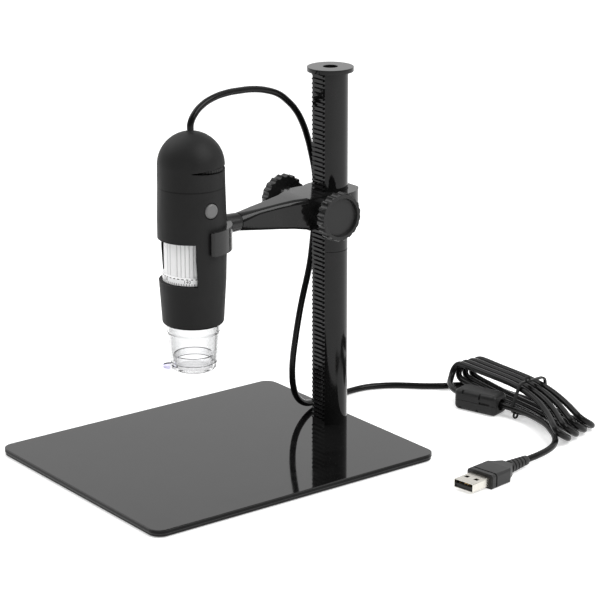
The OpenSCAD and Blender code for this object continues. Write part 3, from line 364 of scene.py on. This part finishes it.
finishSet = {
    "glossBlack": dict(colour=14, rough=(0.03, 0.08), grain=(700, 0.001), ior=1.44, dust=0.03),
    "edgeBlack": dict(colour=12, rough=(0.12, 0.22), grain=(900, 0.002), ior=1.2),
    "columnBlack": dict(colour=14, rough=(0.06, 0.12), grain=(500, 0.002), ior=1.31),
    "armBlack": dict(colour=16, rough=(0.08, 0.16), grain=(900, 0.003), ior=1.33),
    "softBlack": dict(colour=26, rough=(0.48, 0.58), grain=(3200, 0.02), ior=1.25, dust=0.02),
    "knobGrey": dict(colour=30, rough=(0.30, 0.42), grain=(2600, 0.012), ior=1.31),
    "clipGrey": dict(colour=32, rough=(0.15, 0.24), grain=(2600, 0.006), ior=1.33),
    "buttonGrey": dict(colour=97, rough=(0.36, 0.46), grain=(3000, 0.01), ior=1.36),
    "wheelWhite": dict(colour=242, rough=(0.34, 0.46), grain=(2400, 0.006), lift=0.02),
    "printBlack": dict(colour=28, rough=(0.5, 0.6)),
    "cordBlack": dict(colour=11, rough=(0.16, 0.26), grain=(1500, 0.012), patch=110, ior=1.24, dust=0.01),
    "plugBlack": dict(colour=44, rough=(0.42, 0.55), grain=(2800, 0.015), ior=1.32),
    "tieBlack": dict(colour=24, rough=(0.3, 0.45), grain=(2000, 0.01), ior=1.32),
    "caseBlack": dict(colour=30, rough=(0.40, 0.52), grain=(2600, 0.02), ior=1.30),
    "rubberBlack": dict(colour=26, rough=(0.7, 0.85), grain=(1500, 0.03)),
    "sheetSteel": dict(colour=26, rough=(0.3, 0.45), grain=(1800, 0.01), ior=1.25),
    "brightSteel": dict(colour=196, rough=(0.18, 0.3), grain=(2400, 0.004), metallic=1.0),
    "shellNickel": dict(colour=(204, 201, 193), rough=(0.24, 0.34), grain=(1900, 0.003), metallic=1.0),
    "contactGold": dict(colour=(212, 170, 96), rough=(0.2, 0.3), metallic=1.0),
    "bronze": dict(colour=(150, 112, 66), rough=(0.3, 0.4), metallic=1.0),
    "ferriteGrey": dict(colour=66, rough=(0.5, 0.6), grain=(2000, 0.02)),
    "boardGreen": dict(colour=(34, 84, 52), rough=(0.3, 0.45), grain=(1200, 0.01)),
    "boardWhite": dict(colour=226, rough=(0.35, 0.45), grain=(1200, 0.006), lift=0.02),
    "chipBlack": dict(colour=30, rough=(0.4, 0.5)),
    "lampResin": dict(colour=(246, 240, 214), rough=(0.12, 0.2), lift=0.02),
    "innerBlack": dict(colour=24, rough=(0.6, 0.7)),
}
clearSet = {
    "clearNose": dict(tint=(0.86, 0.863, 0.866), rough=0.01, ior=1.4),
    "clearCap": dict(tint=(0.965, 0.965, 0.972), rough=0.01, ior=1.12, gloss=0.2),
    "lensGlass": dict(tint=(1.0, 1.0, 1.0), rough=0.0, ior=1.52),
}
looks = {name: finish(name, **values) for name, values in finishSet.items()}
looks.update({name: clearFinish(name, **values) for name, values in clearSet.items()})


headAxisY = -13.6                   # mm, where the head's upright axis lies


# distance from the head's axis, in m
def axisRadius(tree):
    where = tree.nodes.new("ShaderNodeTexCoord")
    fromAxis = tree.nodes.new("ShaderNodeVectorMath")
    fromAxis.operation = "SUBTRACT"
    fromAxis.inputs[1].default_value = (0, headAxisY * mm, 0)
    tree.links.new(where.outputs["Object"], fromAxis.inputs[0])
    flat = tree.nodes.new("ShaderNodeVectorMath")
    flat.operation = "MULTIPLY"
    flat.inputs[1].default_value = (1, 1, 0)
    tree.links.new(fromAxis.outputs["Vector"], flat.inputs[0])
    radius = tree.nodes.new("ShaderNodeVectorMath")
    radius.operation = "LENGTH"
    tree.links.new(flat.outputs["Vector"], radius.inputs[0])
    return radius.outputs["Value"]


# distance above or below a height, in m
def heightFrom(tree, level):
    where = tree.nodes.new("ShaderNodeTexCoord")
    split = tree.nodes.new("ShaderNodeSeparateXYZ")
    tree.links.new(where.outputs["Object"], split.inputs[0])
    away = tree.nodes.new("ShaderNodeMath")
    away.operation = "SUBTRACT"
    away.inputs[1].default_value = level * mm
    tree.links.new(split.outputs["Z"], away.inputs[0])
    size = tree.nodes.new("ShaderNodeMath")
    size.operation = "ABSOLUTE"
    tree.links.new(away.outputs[0], size.inputs[0])
    return size.outputs[0]


# a second colour laid over the first, full at one distance and gone at the other, in mm
def tintBy(look, distance, full, gone, colour, most=1.0):
    tree = look.node_tree
    shader = tree.nodes["Principled BSDF"]
    share = tree.nodes.new("ShaderNodeMapRange")
    inputsOf(share, From_Min=full * mm, From_Max=gone * mm, To_Min=most, To_Max=0.0)
    tree.links.new(distance, share.inputs["Value"])
    laid = tree.nodes.new("ShaderNodeMix")
    laid.data_type = "RGBA"
    laid.inputs["B"].default_value = (*colour, 1)
    tree.links.new(share.outputs["Result"], laid.inputs["Factor"])
    tree.links.new(shader.inputs["Base Color"].links[0].from_socket, laid.inputs["A"])
    tree.links.new(laid.outputs["Result"], shader.inputs["Base Color"])


def axisTint(name, full, gone, colour, most=1.0):
    tintBy(looks[name], axisRadius(looks[name].node_tree), full, gone, colour, most)


def heightTint(name, height, full, gone, colour):
    tintBy(looks[name], heightFrom(looks[name].node_tree, height), full, gone, colour)


# painted shade in the wheel's grooves, the tab's violet, and painted shade in the seam where the dome meets
# the body, in mm
# painted shade: the wheel's white darkened inside the grooves between its ribs
wheelGrooveShade = {"full": 13.62, "gone": 13.82, "colour": (0.2, 0.2, 0.195), "most": 0.45}
tabTint = {"full": 12.6, "gone": 11.8, "colour": (0.66, 0.64, 0.86)}
# painted shade: a near-black band laid on the shell where the dome meets the body
shellSeamShade = {"height": 143.735, "full": 0.22, "gone": 0.34, "colour": (0.001, 0.001, 0.001)}
axisTint("wheelWhite", **wheelGrooveShade)
axisTint("clearCap", **tabTint)
heightTint("softBlack", **shellSeamShade)
print("materials ready:", len(looks))


# working with pieces
meshSet = {"mergeGap": 0.004, "flatAngle": 0.4, "smoothAngle": 32}      # mm and degrees


def clearSelection():
    if bpy.context.object and bpy.context.object.mode != "OBJECT":
        bpy.ops.object.mode_set(mode="OBJECT")
    bpy.ops.object.select_all(action="DESELECT")


def makeActive(piece):
    clearSelection()
    piece.select_set(True)
    bpy.context.view_layer.objects.active = piece


# puts a piece at the origin and gives it its name, smooth faces and finish
def settle(piece, name, look, angle):
    makeActive(piece)
    bpy.ops.object.transform_apply(location=True, rotation=True, scale=True)
    piece.name = name
    piece.data.name = name
    bpy.ops.object.shade_smooth_by_angle(angle=math.radians(angle))
    even = piece.modifiers.new("evenNormals", "WEIGHTED_NORMAL")
    even.keep_sharp = True
    bpy.ops.object.modifier_apply(modifier=even.name)
    piece.data.materials.clear()
    piece.data.materials.append(looks[look])
    return piece


def roundEdges(piece, width, segments=2, angle=35):
    makeActive(piece)
    soften = piece.modifiers.new("roundEdges", "BEVEL")
    soften.width = width * mm
    soften.segments = segments
    soften.limit_method = "ANGLE"
    soften.angle_limit = math.radians(angle)
    soften.miter_outer = "MITER_ARC"
    bpy.ops.object.modifier_apply(modifier=soften.name)


# base_plate becomes basePlate
def pieceName(node):
    first, *rest = node.split("_")
    return first + "".join(word.title() for word in rest)


# a finished copy of a CAD node: merged, its edges rounded, its faces smooth
def dressNode(node, look, edge):
    source = nodes[node]
    piece = source.copy()
    piece.data = source.data.copy()
    piece.parent = None
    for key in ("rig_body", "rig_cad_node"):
        if key in piece:
            del piece[key]
    scene.collection.objects.link(piece)
    makeActive(piece)
    bpy.ops.object.mode_set(mode="EDIT")
    bpy.ops.mesh.select_all(action="SELECT")
    bpy.ops.mesh.remove_doubles(threshold=meshSet["mergeGap"] * mm)
    bpy.ops.mesh.dissolve_limited(angle_limit=math.radians(meshSet["flatAngle"]))
    bpy.ops.object.mode_set(mode="OBJECT")
    bpy.ops.mesh.customdata_custom_splitnormals_clear()
    if edge:
        roundEdges(piece, edge)
    settle(piece, pieceName(node), look, meshSet["smoothAngle"])
    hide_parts(node)
    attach(piece, bodyOf[node])
    return piece


# cords: the routes and the hank of the part, in mm
cordSet = {
    "diameter": 3.4,
    "glandTop": 170.935,
    "glandLead": (0.2, 3.3),        # back and up, from the gland to the next point
    "upper": [
        (-0.6, -10.4, 178.6), (-1.8, -5, 182), (-3, 2, 184.2), (-4.4, 11, 185.2), (-5.8, 20, 185),
        (-7.2, 29.4, 184.2), (-8.4, 38.4, 182.2), (-9.6, 46.6, 179), (-11, 53, 174.6), (-12.4, 59.4, 168.6),
        (-13.6, 64.6, 161), (-14.8, 68.6, 152.8), (-15.8, 71.8, 144), (-16.6, 74.4, 135), (-17, 75.6, 128),
        (-17, 75.6, 124.2), (-17, 75.6, 120.8),
    ],
    "lower": [
        (-17, 75.6, 120.8), (-17, 75.6, 117.4), (-16.8, 75, 109), (-16.4, 73.6, 101), (-16.2, 72.4, 93),
        (-16, 71, 85.6), (-16, 69.2, 78.4), (-16, 67, 70.8), (-16, 64.8, 62.4), (-16, 63, 54),
        (-16, 61.4, 45.6), (-16, 60, 37), (-16, 59.4, 28.4), (-16, 60.2, 20), (-16.6, 62.8, 14),
        (-17.8, 67.2, 9.8), (-19.8, 73.2, 7.2), (-22.6, 80.4, 6.2), (-26, 88.5, 5.6), (-29.4, 97, 3.8),
        (-32.2, 105.4, 2.2), (-33.6, 114, 1.8), (-33, 122.6, 1.8), (-30, 130.4, 1.8), (-25.6, 137.4, 1.8),
        (-20.4, 143.2, 1.8), (-15.8, 148, 1.8), (-11.8, 153, 1.8), (-8.2, 158.4, 1.8), (-5, 164.4, 1.8),
        (-0.6, 170.2, 1.8), (5.2, 174.8, 1.8), (11.4, 177, 1.8),
    ],
    "tail": [(83.4, 150.9, 5), (90.6, 147, 4.3), (96.6, 141.4, 3.9), (100.6, 134.8, 3.8)],
    "splitHeight": 20.0,            # below this the lower run lies still
    "swivelReach": (60.0, -12.0),   # between these the upper run turns with the head
    "ringStep": 5,                  # curve steps between two points
    "roundStep": 4,                 # a higher step makes the cord rounder
    "smoothing": 4,                 # passes over the hank's points
    "smoothAngle": 60,
}
hankSet = {
    "x": 45.5, "y": 168.5, "first": 0.06, "last": 4.2, "step": 4.3, "half": 46.5, "high": 14.0, "low": 9.0,
    "spread": (0.1, 0.8), "lean": (0.45, -1.4), "bend": 11.0, "short": 2.0, "prop": 4.0,
    "tie": 4.0, "tieLift": 1.7, "tieReach": 30.0, "tableGap": 0.05, "swing": 12.6,
    "swingOut": (3.95, 0.09), "swingBack": (4.04, 0.13),        # where each begins and its span, in turns
    "middleTurn": 2.15,             # the turn on the hank's own line
    "squareTurn": 3.4,              # the turn that is neither shorter nor longer at its right end
    "lastRun": 3.9,                 # from this turn on the cord leaves the hank
    "flare": 50.0,                  # how far along the spread has its given share
    "fall": (-20.0, 70.0),          # where the upper runs come down, and over what length
    "propFrom": 0.5, "propFall": (-38.0, 26.0), "lastPropFall": (30.0, 20.0),
    "pointsPerTurn": 40, "firstGap": 0.4, "nudge": 0.004,
}
plugSet = {
    "x": 110.6, "y": 78.7, "z": 3.8, "turn": 8.5, "grip": 21.0, "relief": 15.0,
    "lead": 2.6,                    # cord diameters that run straight into the relief
}


# from 0 to 1 with a soft start and end
def ease(s):
    c = min(max(s, 0.0), 1.0)
    return c * c * (3 - 2 * c)


# height of a loop's lower run, u mm along the hank in turn t
def runLow(t, u):
    h = hankSet
    if t < h["propFrom"]:
        return 0.0
    start, span = h["lastPropFall"] if t > h["lastRun"] else h["propFall"]
    return h["prop"] * (1 - ease((u - start) / span))


def runHigh(u):
    start, span = hankSet["fall"]
    return hankSet["high"] + (hankSet["low"] - hankSet["high"]) * ease((u - start) / span)


# one loop: the lower run, the right end, the upper run and the left end take a quarter turn each
def loopAt(t):
    half, f = hankSet["half"], t - math.floor(t)
    if f < 0.25:
        u = -half + 8 * half * f
        return u, runLow(t, u)
    if f < 0.5:
        r, a = runHigh(half) / 2, 4 * math.pi * (f - 0.25)
        return half + r * math.sin(a), r * (1 - math.cos(a))
    if f < 0.75:
        u = half - 8 * half * (f - 0.5)
        return u, runHigh(u)
    r, a = (runHigh(-half) - hankSet["prop"]) / 2, 4 * math.pi * (f - 0.75)
    return -half - r * math.sin(a), runHigh(-half) - r * (1 - math.cos(a))


def hankPoint(t):
    h = hankSet
    u, height = loopAt(t)
    side, e = (0 if u < 0 else 1), (u / h["flare"]) ** 2
    fan = h["step"] * (h["middleTurn"] - t) * (1 + h["spread"][side] * e)
    lean = h["lean"][side] * e * e * (height - runHigh(u) / 2)
    out, back = (ease((t - start) / span) for start, span in (h["swingOut"], h["swingBack"]))
    swing = h["swing"] * (out - back)
    lift = 0.0
    if t < h["lastRun"] and abs(u - h["tie"]) < h["tieReach"]:
        lift = h["tieLift"] * math.cos(math.radians(90 / h["tieReach"] * (u - h["tie"]))) ** 2
    return Vector((
        h["x"] + u - side * h["short"] * (h["squareTurn"] - t) * u / h["half"],
        h["y"] + fan + lean - side * h["bend"] * e - swing,
        cordSet["diameter"] / 2 + h["tableGap"] + height + lift,
    ))


def hankAhead(t):
    nudge = hankSet["nudge"]
    return (hankPoint(t + nudge) - hankPoint(t - nudge)).normalized()


# a point on the plug's own line, this far behind its front
def fromPlug(back):
    p, turn = plugSet, math.radians(plugSet["turn"])
    return Vector((p["x"] - back * math.sin(turn), p["y"] + back * math.cos(turn), p["z"]))


# takes the corners out of a route and keeps its two ends
def smoothRoute(points, passes):
    route = [Vector(p) for p in points]
    for _ in range(passes):
        inner = [0.5 * b + 0.25 * (a + c) for a, b, c in zip(route, route[1:], route[2:])]
        route = [route[0]] + inner + [route[-1]]
    return route


# one smooth tube through the points
def makeCord(name, points, look):
    clearSelection()
    bpy.ops.curve.primitive_bezier_curve_add(location=(0, 0, 0))
    curve = bpy.context.object
    line = curve.data.splines[0]
    line.bezier_points.add(len(points) - len(line.bezier_points))
    for knot, point in zip(line.bezier_points, points):
        knot.co = Vector(point) * mm
        knot.handle_left_type = knot.handle_right_type = "AUTO"
    curve.data.dimensions = "3D"
    curve.data.resolution_u = cordSet["ringStep"]
    curve.data.bevel_depth = cordSet["diameter"] / 2 * mm
    curve.data.bevel_resolution = cordSet["roundStep"]
    curve.data.use_fill_caps = True
    makeActive(curve)
    bpy.ops.object.convert(target="MESH")
    return settle(bpy.context.object, name, look, cordSet["smoothAngle"])


def pathLength(points):
    return sum((Vector(b) - Vector(a)).length for a, b in zip(points, points[1:])) * mm


def makeCords():
    d = cordSet["diameter"]
    gland = (0.0, headAxisY, cordSet["glandTop"])
    back, up = cordSet["glandLead"]
    upperRoute = [gland, (0.0, headAxisY + back, cordSet["glandTop"] + up)] + cordSet["upper"]
    upper = makeCord("cordFromHead", upperRoute, "cordBlack")
    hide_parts("cord_upper")
    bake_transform(upper)

    h = hankSet
    first, last = hankPoint(h["first"]), hankPoint(h["last"])
    count = h["pointsPerTurn"]
    turns = [i / count for i in range(math.ceil(h["first"] * count + h["firstGap"]), int(h["last"] * count))]
    relief = plugSet["grip"] + plugSet["relief"]
    lowerRoute = cordSet["lower"] + [first - d * hankAhead(h["first"]), first]
    coils = [hankPoint(t) for t in turns] + [last, last + d * hankAhead(h["last"])]
    lowerRoute += smoothRoute(coils, cordSet["smoothing"]) + cordSet["tail"]
    lowerRoute += [fromPlug(relief + plugSet["lead"] * d), fromPlug(relief + d), fromPlug(relief)]
    lower = makeCord("cordToPlug", lowerRoute, "cordBlack")
    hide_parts("cord_lower", "cord_hank", "cord_tail")
    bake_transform(lower)
    return upper, upperRoute, lower, lowerRoute


upperCord, upperRoute, lowerCord, lowerRoute = makeCords()
print("cords:", round(pathLength(upperRoute), 3), "m and", round(pathLength(lowerRoute), 3), "m")


# what lies inside keeps its CAD mesh and gets its finish
insideLooks = {
    "base_screw": "brightSteel", "pinion_bushes": "bronze", "knob_washers": "innerBlack",
    "swivel_screw": "brightSteel", "pinion_gear": "bronze", "swivel_pin": "brightSteel",
    "main_board": "boardGreen", "image_sensor": "chipBlack", "switch_board": "boardGreen",
    "tact_switch": "chipBlack", "dimmer_pot": "chipBlack", "lens_sleeve": "innerBlack",
    "led_board": "boardWhite", "leds": "lampResin", "lens_barrel": "innerBlack", "lens_glass": "lensGlass",
    "ferrite_core": "ferriteGrey", "usb_tongue": "innerBlack", "usb_contacts": "contactGold",
}
for node, look in insideLooks.items():
    nodes[node].data.materials.clear()
    nodes[node].data.materials.append(looks[look])
print("inner nodes finished:", len(insideLooks))


# snap-on ferrite: two rounded halves with a bore and latch notches, in mm from its middle
ferriteSet = {
    "turn": 4.08, "reach": 0.034, "tableGap": 0.05,
    "size": (26.0, 12.6, 11.4), "corner": 2.6, "cornerSteps": 5, "bore": 6.0, "boreSides": 40, "seam": 0.07,
    "edge": 0.12, "edgeSteps": 1, "edgeAngle": 50, "smoothAngle": 40,
    "cuts": (                       # along, height, and the size of each cut
        (-8.9, -4.7, (1.2, 3.2, 2.2)), (1.4, -4.7, (1.2, 3.2, 2.2)),
        (-7.6, 4.7, (1.2, 3.2, 2.2)), (2.9, 3.9, (1.0, 2.4, 3.2)),
        (6.0, 0.7, (6.2, 1.2, 1.0)),
    ),
}


def ferriteFrame():
    s = ferriteSet
    ends = [hankPoint(s["turn"] - s["reach"]), hankPoint(s["turn"] + s["reach"])]
    way = ends[1] - ends[0]
    middle = (ends[0] + ends[1] + hankPoint(s["turn"])) / 3
    middle.z = s["size"][2] / 2 + s["tableGap"]
    return middle, math.atan2(way.y, way.x)


def cutAway(piece, cutter):
    makeActive(piece)
    cut = piece.modifiers.new("cutAway", "BOOLEAN")
    cut.operation = "DIFFERENCE"
    cut.solver = "EXACT"
    cut.object = cutter
    bpy.ops.object.modifier_apply(modifier=cut.name)
    bpy.data.objects.remove(cutter)


def makeFerriteHalf(node, name, side):
    s = ferriteSet
    clearSelection()
    bpy.ops.mesh.primitive_cube_add(size=1, location=(0, 0, 0))
    half = bpy.context.object
    half.scale = [c * mm for c in s["size"]]
    bpy.ops.object.transform_apply(location=False, rotation=False, scale=True)
    bpy.ops.object.mode_set(mode="EDIT")
    bpy.ops.mesh.select_all(action="SELECT")
    bpy.ops.mesh.bevel(offset=s["corner"] * mm, segments=s["cornerSteps"], affect="EDGES")
    bpy.ops.mesh.select_all(action="SELECT")
    bpy.ops.mesh.bisect(plane_co=(0, 0, side * s["seam"] * mm), plane_no=(0, 0, side),
                        use_fill=True, clear_inner=True)
    bpy.ops.object.mode_set(mode="OBJECT")
    clearSelection()
    bpy.ops.mesh.primitive_cylinder_add(vertices=s["boreSides"], radius=s["bore"] / 2 * mm,
                                        depth=2 * s["size"][0] * mm, rotation=(0, math.pi / 2, 0))
    cutAway(half, bpy.context.object)
    for along, height, size in s["cuts"]:
        for face in (-1, 1):
            clearSelection()
            place = Vector((along, face * s["size"][1] / 2, height)) * mm
            bpy.ops.mesh.primitive_cube_add(size=1, location=place)
            bpy.context.object.scale = [c * mm for c in size]
            cutAway(half, bpy.context.object)
    roundEdges(half, s["edge"], s["edgeSteps"], s["edgeAngle"])
    middle, turn = ferriteFrame()
    half.location = middle * mm
    half.rotation_euler.z = turn
    settle(half, name, "caseBlack", s["smoothAngle"])
    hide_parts(node)
    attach(half, bodyOf[node])
    return half


ferriteCase = makeFerriteHalf("ferrite_case", "ferriteCase", -1)
ferriteCover = makeFerriteHalf("ferrite_cover", "ferriteCover", 1)
print("ferrite made")


# clear nose: one wall drawn down from the body in rings, with a soft step under the collar, in mm
noseSet = {
    "sides": 144, "neck": 13.4, "wall": 1.4, "tip": 11.7, "neckInside": 7.0,
    "stepTop": 3.4, "stepLow": 5.2, "step": 0.5, "stepRings": 6, "lip": 0.2, "smoothAngle": 50,
}


def noseRings():
    s = noseSet
    low, top = (corner[2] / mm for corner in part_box("nose_cone"))
    bodyEdge = top - s["neckInside"]
    outside = [(s["neck"] - s["lip"], top), (s["neck"], top - s["lip"])]
    for i in range(s["stepRings"] + 1):
        share = i / s["stepRings"]
        drop = s["stepTop"] + (s["stepLow"] - s["stepTop"]) * share
        outside.append((s["neck"] - s["step"] * ease(share), bodyEdge - drop))
    outside += [(s["tip"], low + s["lip"]), (s["tip"] - s["lip"], low)]
    inside = [(r - s["wall"], z) for r, z in outside[1:-1]]
    inside = [(inside[0][0] + s["lip"], top)] + inside + [(inside[-1][0] + s["lip"], low)]
    return outside + inside[::-1]


# a round form about the upright axis, drawn ring by ring; a ring is a radius and a height
def drawRings(rings, sides, solid):
    clearSelection()
    radius, height = rings[0]
    bpy.ops.mesh.primitive_circle_add(vertices=sides, radius=radius * mm, location=(0, 0, height * mm),
                                      fill_type="NGON" if solid else "NOTHING")
    bpy.ops.object.mode_set(mode="EDIT")
    bpy.ops.mesh.select_all(action="SELECT")
    closing = [] if solid else rings[:1]
    for (r0, z0), (r1, z1) in zip(rings, rings[1:] + closing):
        bpy.ops.mesh.extrude_region_move(TRANSFORM_OT_translate={"value": (0, 0, (z1 - z0) * mm)})
        bpy.ops.transform.resize(value=(r1 / r0, r1 / r0, 1), center_override=(0, 0, 0))
    bpy.ops.mesh.select_all(action="SELECT")
    bpy.ops.mesh.remove_doubles(threshold=meshSet["mergeGap"] * mm)
    bpy.ops.mesh.normals_make_consistent(inside=False)
    bpy.ops.object.mode_set(mode="OBJECT")
    return bpy.context.object


def makeNose():
    nose = drawRings(noseRings(), noseSet["sides"], False)
    nose.location.y = headAxisY * mm
    settle(nose, "noseCone", "clearNose", noseSet["smoothAngle"])
    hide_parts("nose_cone")
    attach(nose, bodyOf["nose_cone"])


makeNose()
print("nose made")


# snapshot button: a flat face with a sloping rim, and the flange that keeps it in the shell, in mm
buttonSet = {
    "sides": 72, "diameter": 7.2, "flange": 1.0, "rim": 0.85, "rimDrop": 0.5,
    "edge": 0.1, "edgeSteps": 2, "edgeAngle": 20, "smoothAngle": 18,
}


def makeButton():
    s = buttonSet
    low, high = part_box("snapshot_button")
    back, face = low[0] / mm, high[0] / mm
    flangeRadius = (high[2] - low[2]) / 2 / mm
    radius = s["diameter"] / 2
    rings = [(flangeRadius, back), (flangeRadius, back + s["flange"]), (radius, back + s["flange"]),
             (radius, face - s["rimDrop"]), (radius - s["rim"], face)]
    button = drawRings(rings, s["sides"], True)
    button.rotation_euler.y = math.pi / 2
    button.location = (back * mm, (low[1] + high[1]) / 2, (low[2] + high[2]) / 2)
    roundEdges(button, s["edge"], s["edgeSteps"], s["edgeAngle"])
    settle(button, "snapshotButton", "buttonGrey", s["smoothAngle"])
    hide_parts("snapshot_button")
    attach(button, bodyOf["snapshot_button"])


makeButton()
print("button made")


# what else shows is a copy with its finish and its edge radius in mm
shownLooks = {
    "base_plate": ("glossBlack", 0.45), "base_weight": ("sheetSteel", 0.15),
    "rubber_feet": ("rubberBlack", 0.1), "column_lower": ("columnBlack", 0.0),
    "column_upper": ("columnBlack", 0.0), "column_cap": ("columnBlack", 0.25),
    "carriage_arm": ("armBlack", 0.35), "swivel_washer": ("innerBlack", 0.0),
    "pinion_shaft": ("brightSteel", 0.1), "knob_left": ("knobGrey", 0.22),
    "knob_right": ("knobGrey", 0.22), "holder_clip": ("clipGrey", 0.3),
    "head_dome": ("softBlack", 0.25), "head_body": ("softBlack", 0.25), "cord_gland": ("rubberBlack", 0.15),
    "dimmer_wheel": ("innerBlack", 0.1), "nose_cap": ("clearCap", 0.12),
    "focus_wheel": ("wheelWhite", 0.0), "cord_tie": ("tieBlack", 0.12),
    "usb_overmould": ("plugBlack", 0.12), "usb_shell": ("shellNickel", 0.1),
}
pieces = {node: dressNode(node, look, edge) for node, (look, edge) in shownLooks.items()}
print("shown pieces dressed:", len(pieces))


# the plate's sides are duller than its polished top; a side's normal rises less than this
plateSet = {"sideRise": 0.25}


def dullSides(piece, look):
    piece.data.materials.append(looks[look])
    for face in piece.data.polygons:
        if abs(face.normal.z) < plateSet["sideRise"]:
            face.material_index = 1


dullSides(pieces["base_plate"], "edgeBlack")
print("plate sides dulled")


# print on the focus wheel's lower ring: dashes, ticks and plain numbers, in mm
printSet = {
    "radius": 14.8,
    "dashes": 40, "dashSize": (1.2, 0.42), "dashHeight": 100.2,
    "ticks": 70, "tickSize": (0.26, 1.0), "tickHeight": 97.55,
    "numbers": ("140", "120", "100", "80", "60", "40", "20"), "firstNumber": -45.0,
    "digitSize": 2.3, "digitStep": 1.25, "digitCurve": 3, "numberHeight": 98.95,
    "proud": 0.03, "bevelShare": 0.3, "smoothAngle": 20,
}


# one mark on the ring, then a copy for each place round it
def marksRound(count, size, height):
    s = printSet
    clearSelection()
    bpy.ops.mesh.primitive_cube_add(size=1, location=(s["radius"] * mm, 0, height * mm))
    mark = bpy.context.object
    mark.scale = (2 * s["proud"] * mm, size[0] * mm, size[1] * mm)
    bpy.ops.object.transform_apply(location=True, rotation=True, scale=True)
    bpy.ops.object.mode_set(mode="EDIT")
    bpy.ops.mesh.select_all(action="SELECT")
    bpy.ops.mesh.bevel(offset=s["bevelShare"] * s["proud"] * mm, segments=1, affect="EDGES")
    bpy.ops.object.mode_set(mode="OBJECT")
    marks = [mark]
    for i in range(1, count):
        copy = mark.copy()
        copy.data = mark.data.copy()
        copy.rotation_euler.z = 2 * math.pi * i / count
        scene.collection.objects.link(copy)
        marks.append(copy)
    for piece in marks:
        piece.location.y = headAxisY * mm
    return marks


def numbersRound():
    s = printSet
    digits = []
    for i, number in enumerate(s["numbers"]):
        for k, digit in enumerate(number):
            along = (k - (len(number) - 1) / 2) * s["digitStep"]
            turn = math.radians(s["firstNumber"] - 360 / len(s["numbers"]) * i) + along / s["radius"]
            x, y = s["radius"] * math.cos(turn), s["radius"] * math.sin(turn) + headAxisY
            clearSelection()
            bpy.ops.object.text_add(location=[c * mm for c in (x, y, s["numberHeight"])],
                                    rotation=(math.pi / 2, 0, math.pi / 2 + turn))
            label = bpy.context.object
            label.data.body = digit
            label.data.align_x = label.data.align_y = "CENTER"
            label.data.size = s["digitSize"] * mm
            label.data.extrude = s["proud"] * mm
            label.data.resolution_u = s["digitCurve"]
            bpy.ops.object.convert(target="MESH")
            digits.append(bpy.context.object)
    return digits


def makeWheelPrint():
    s = printSet
    parts = marksRound(s["dashes"], s["dashSize"], s["dashHeight"])
    parts += marksRound(s["ticks"], s["tickSize"], s["tickHeight"])
    parts += numbersRound()
    clearSelection()
    for part in parts:
        part.select_set(True)
    bpy.context.view_layer.objects.active = parts[0]
    bpy.ops.object.join()
    ink = settle(bpy.context.object, "wheelPrint", "printBlack", s["smoothAngle"])
    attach(ink, bodyOf["focus_wheel"])


makeWheelPrint()
print("wheel print made")
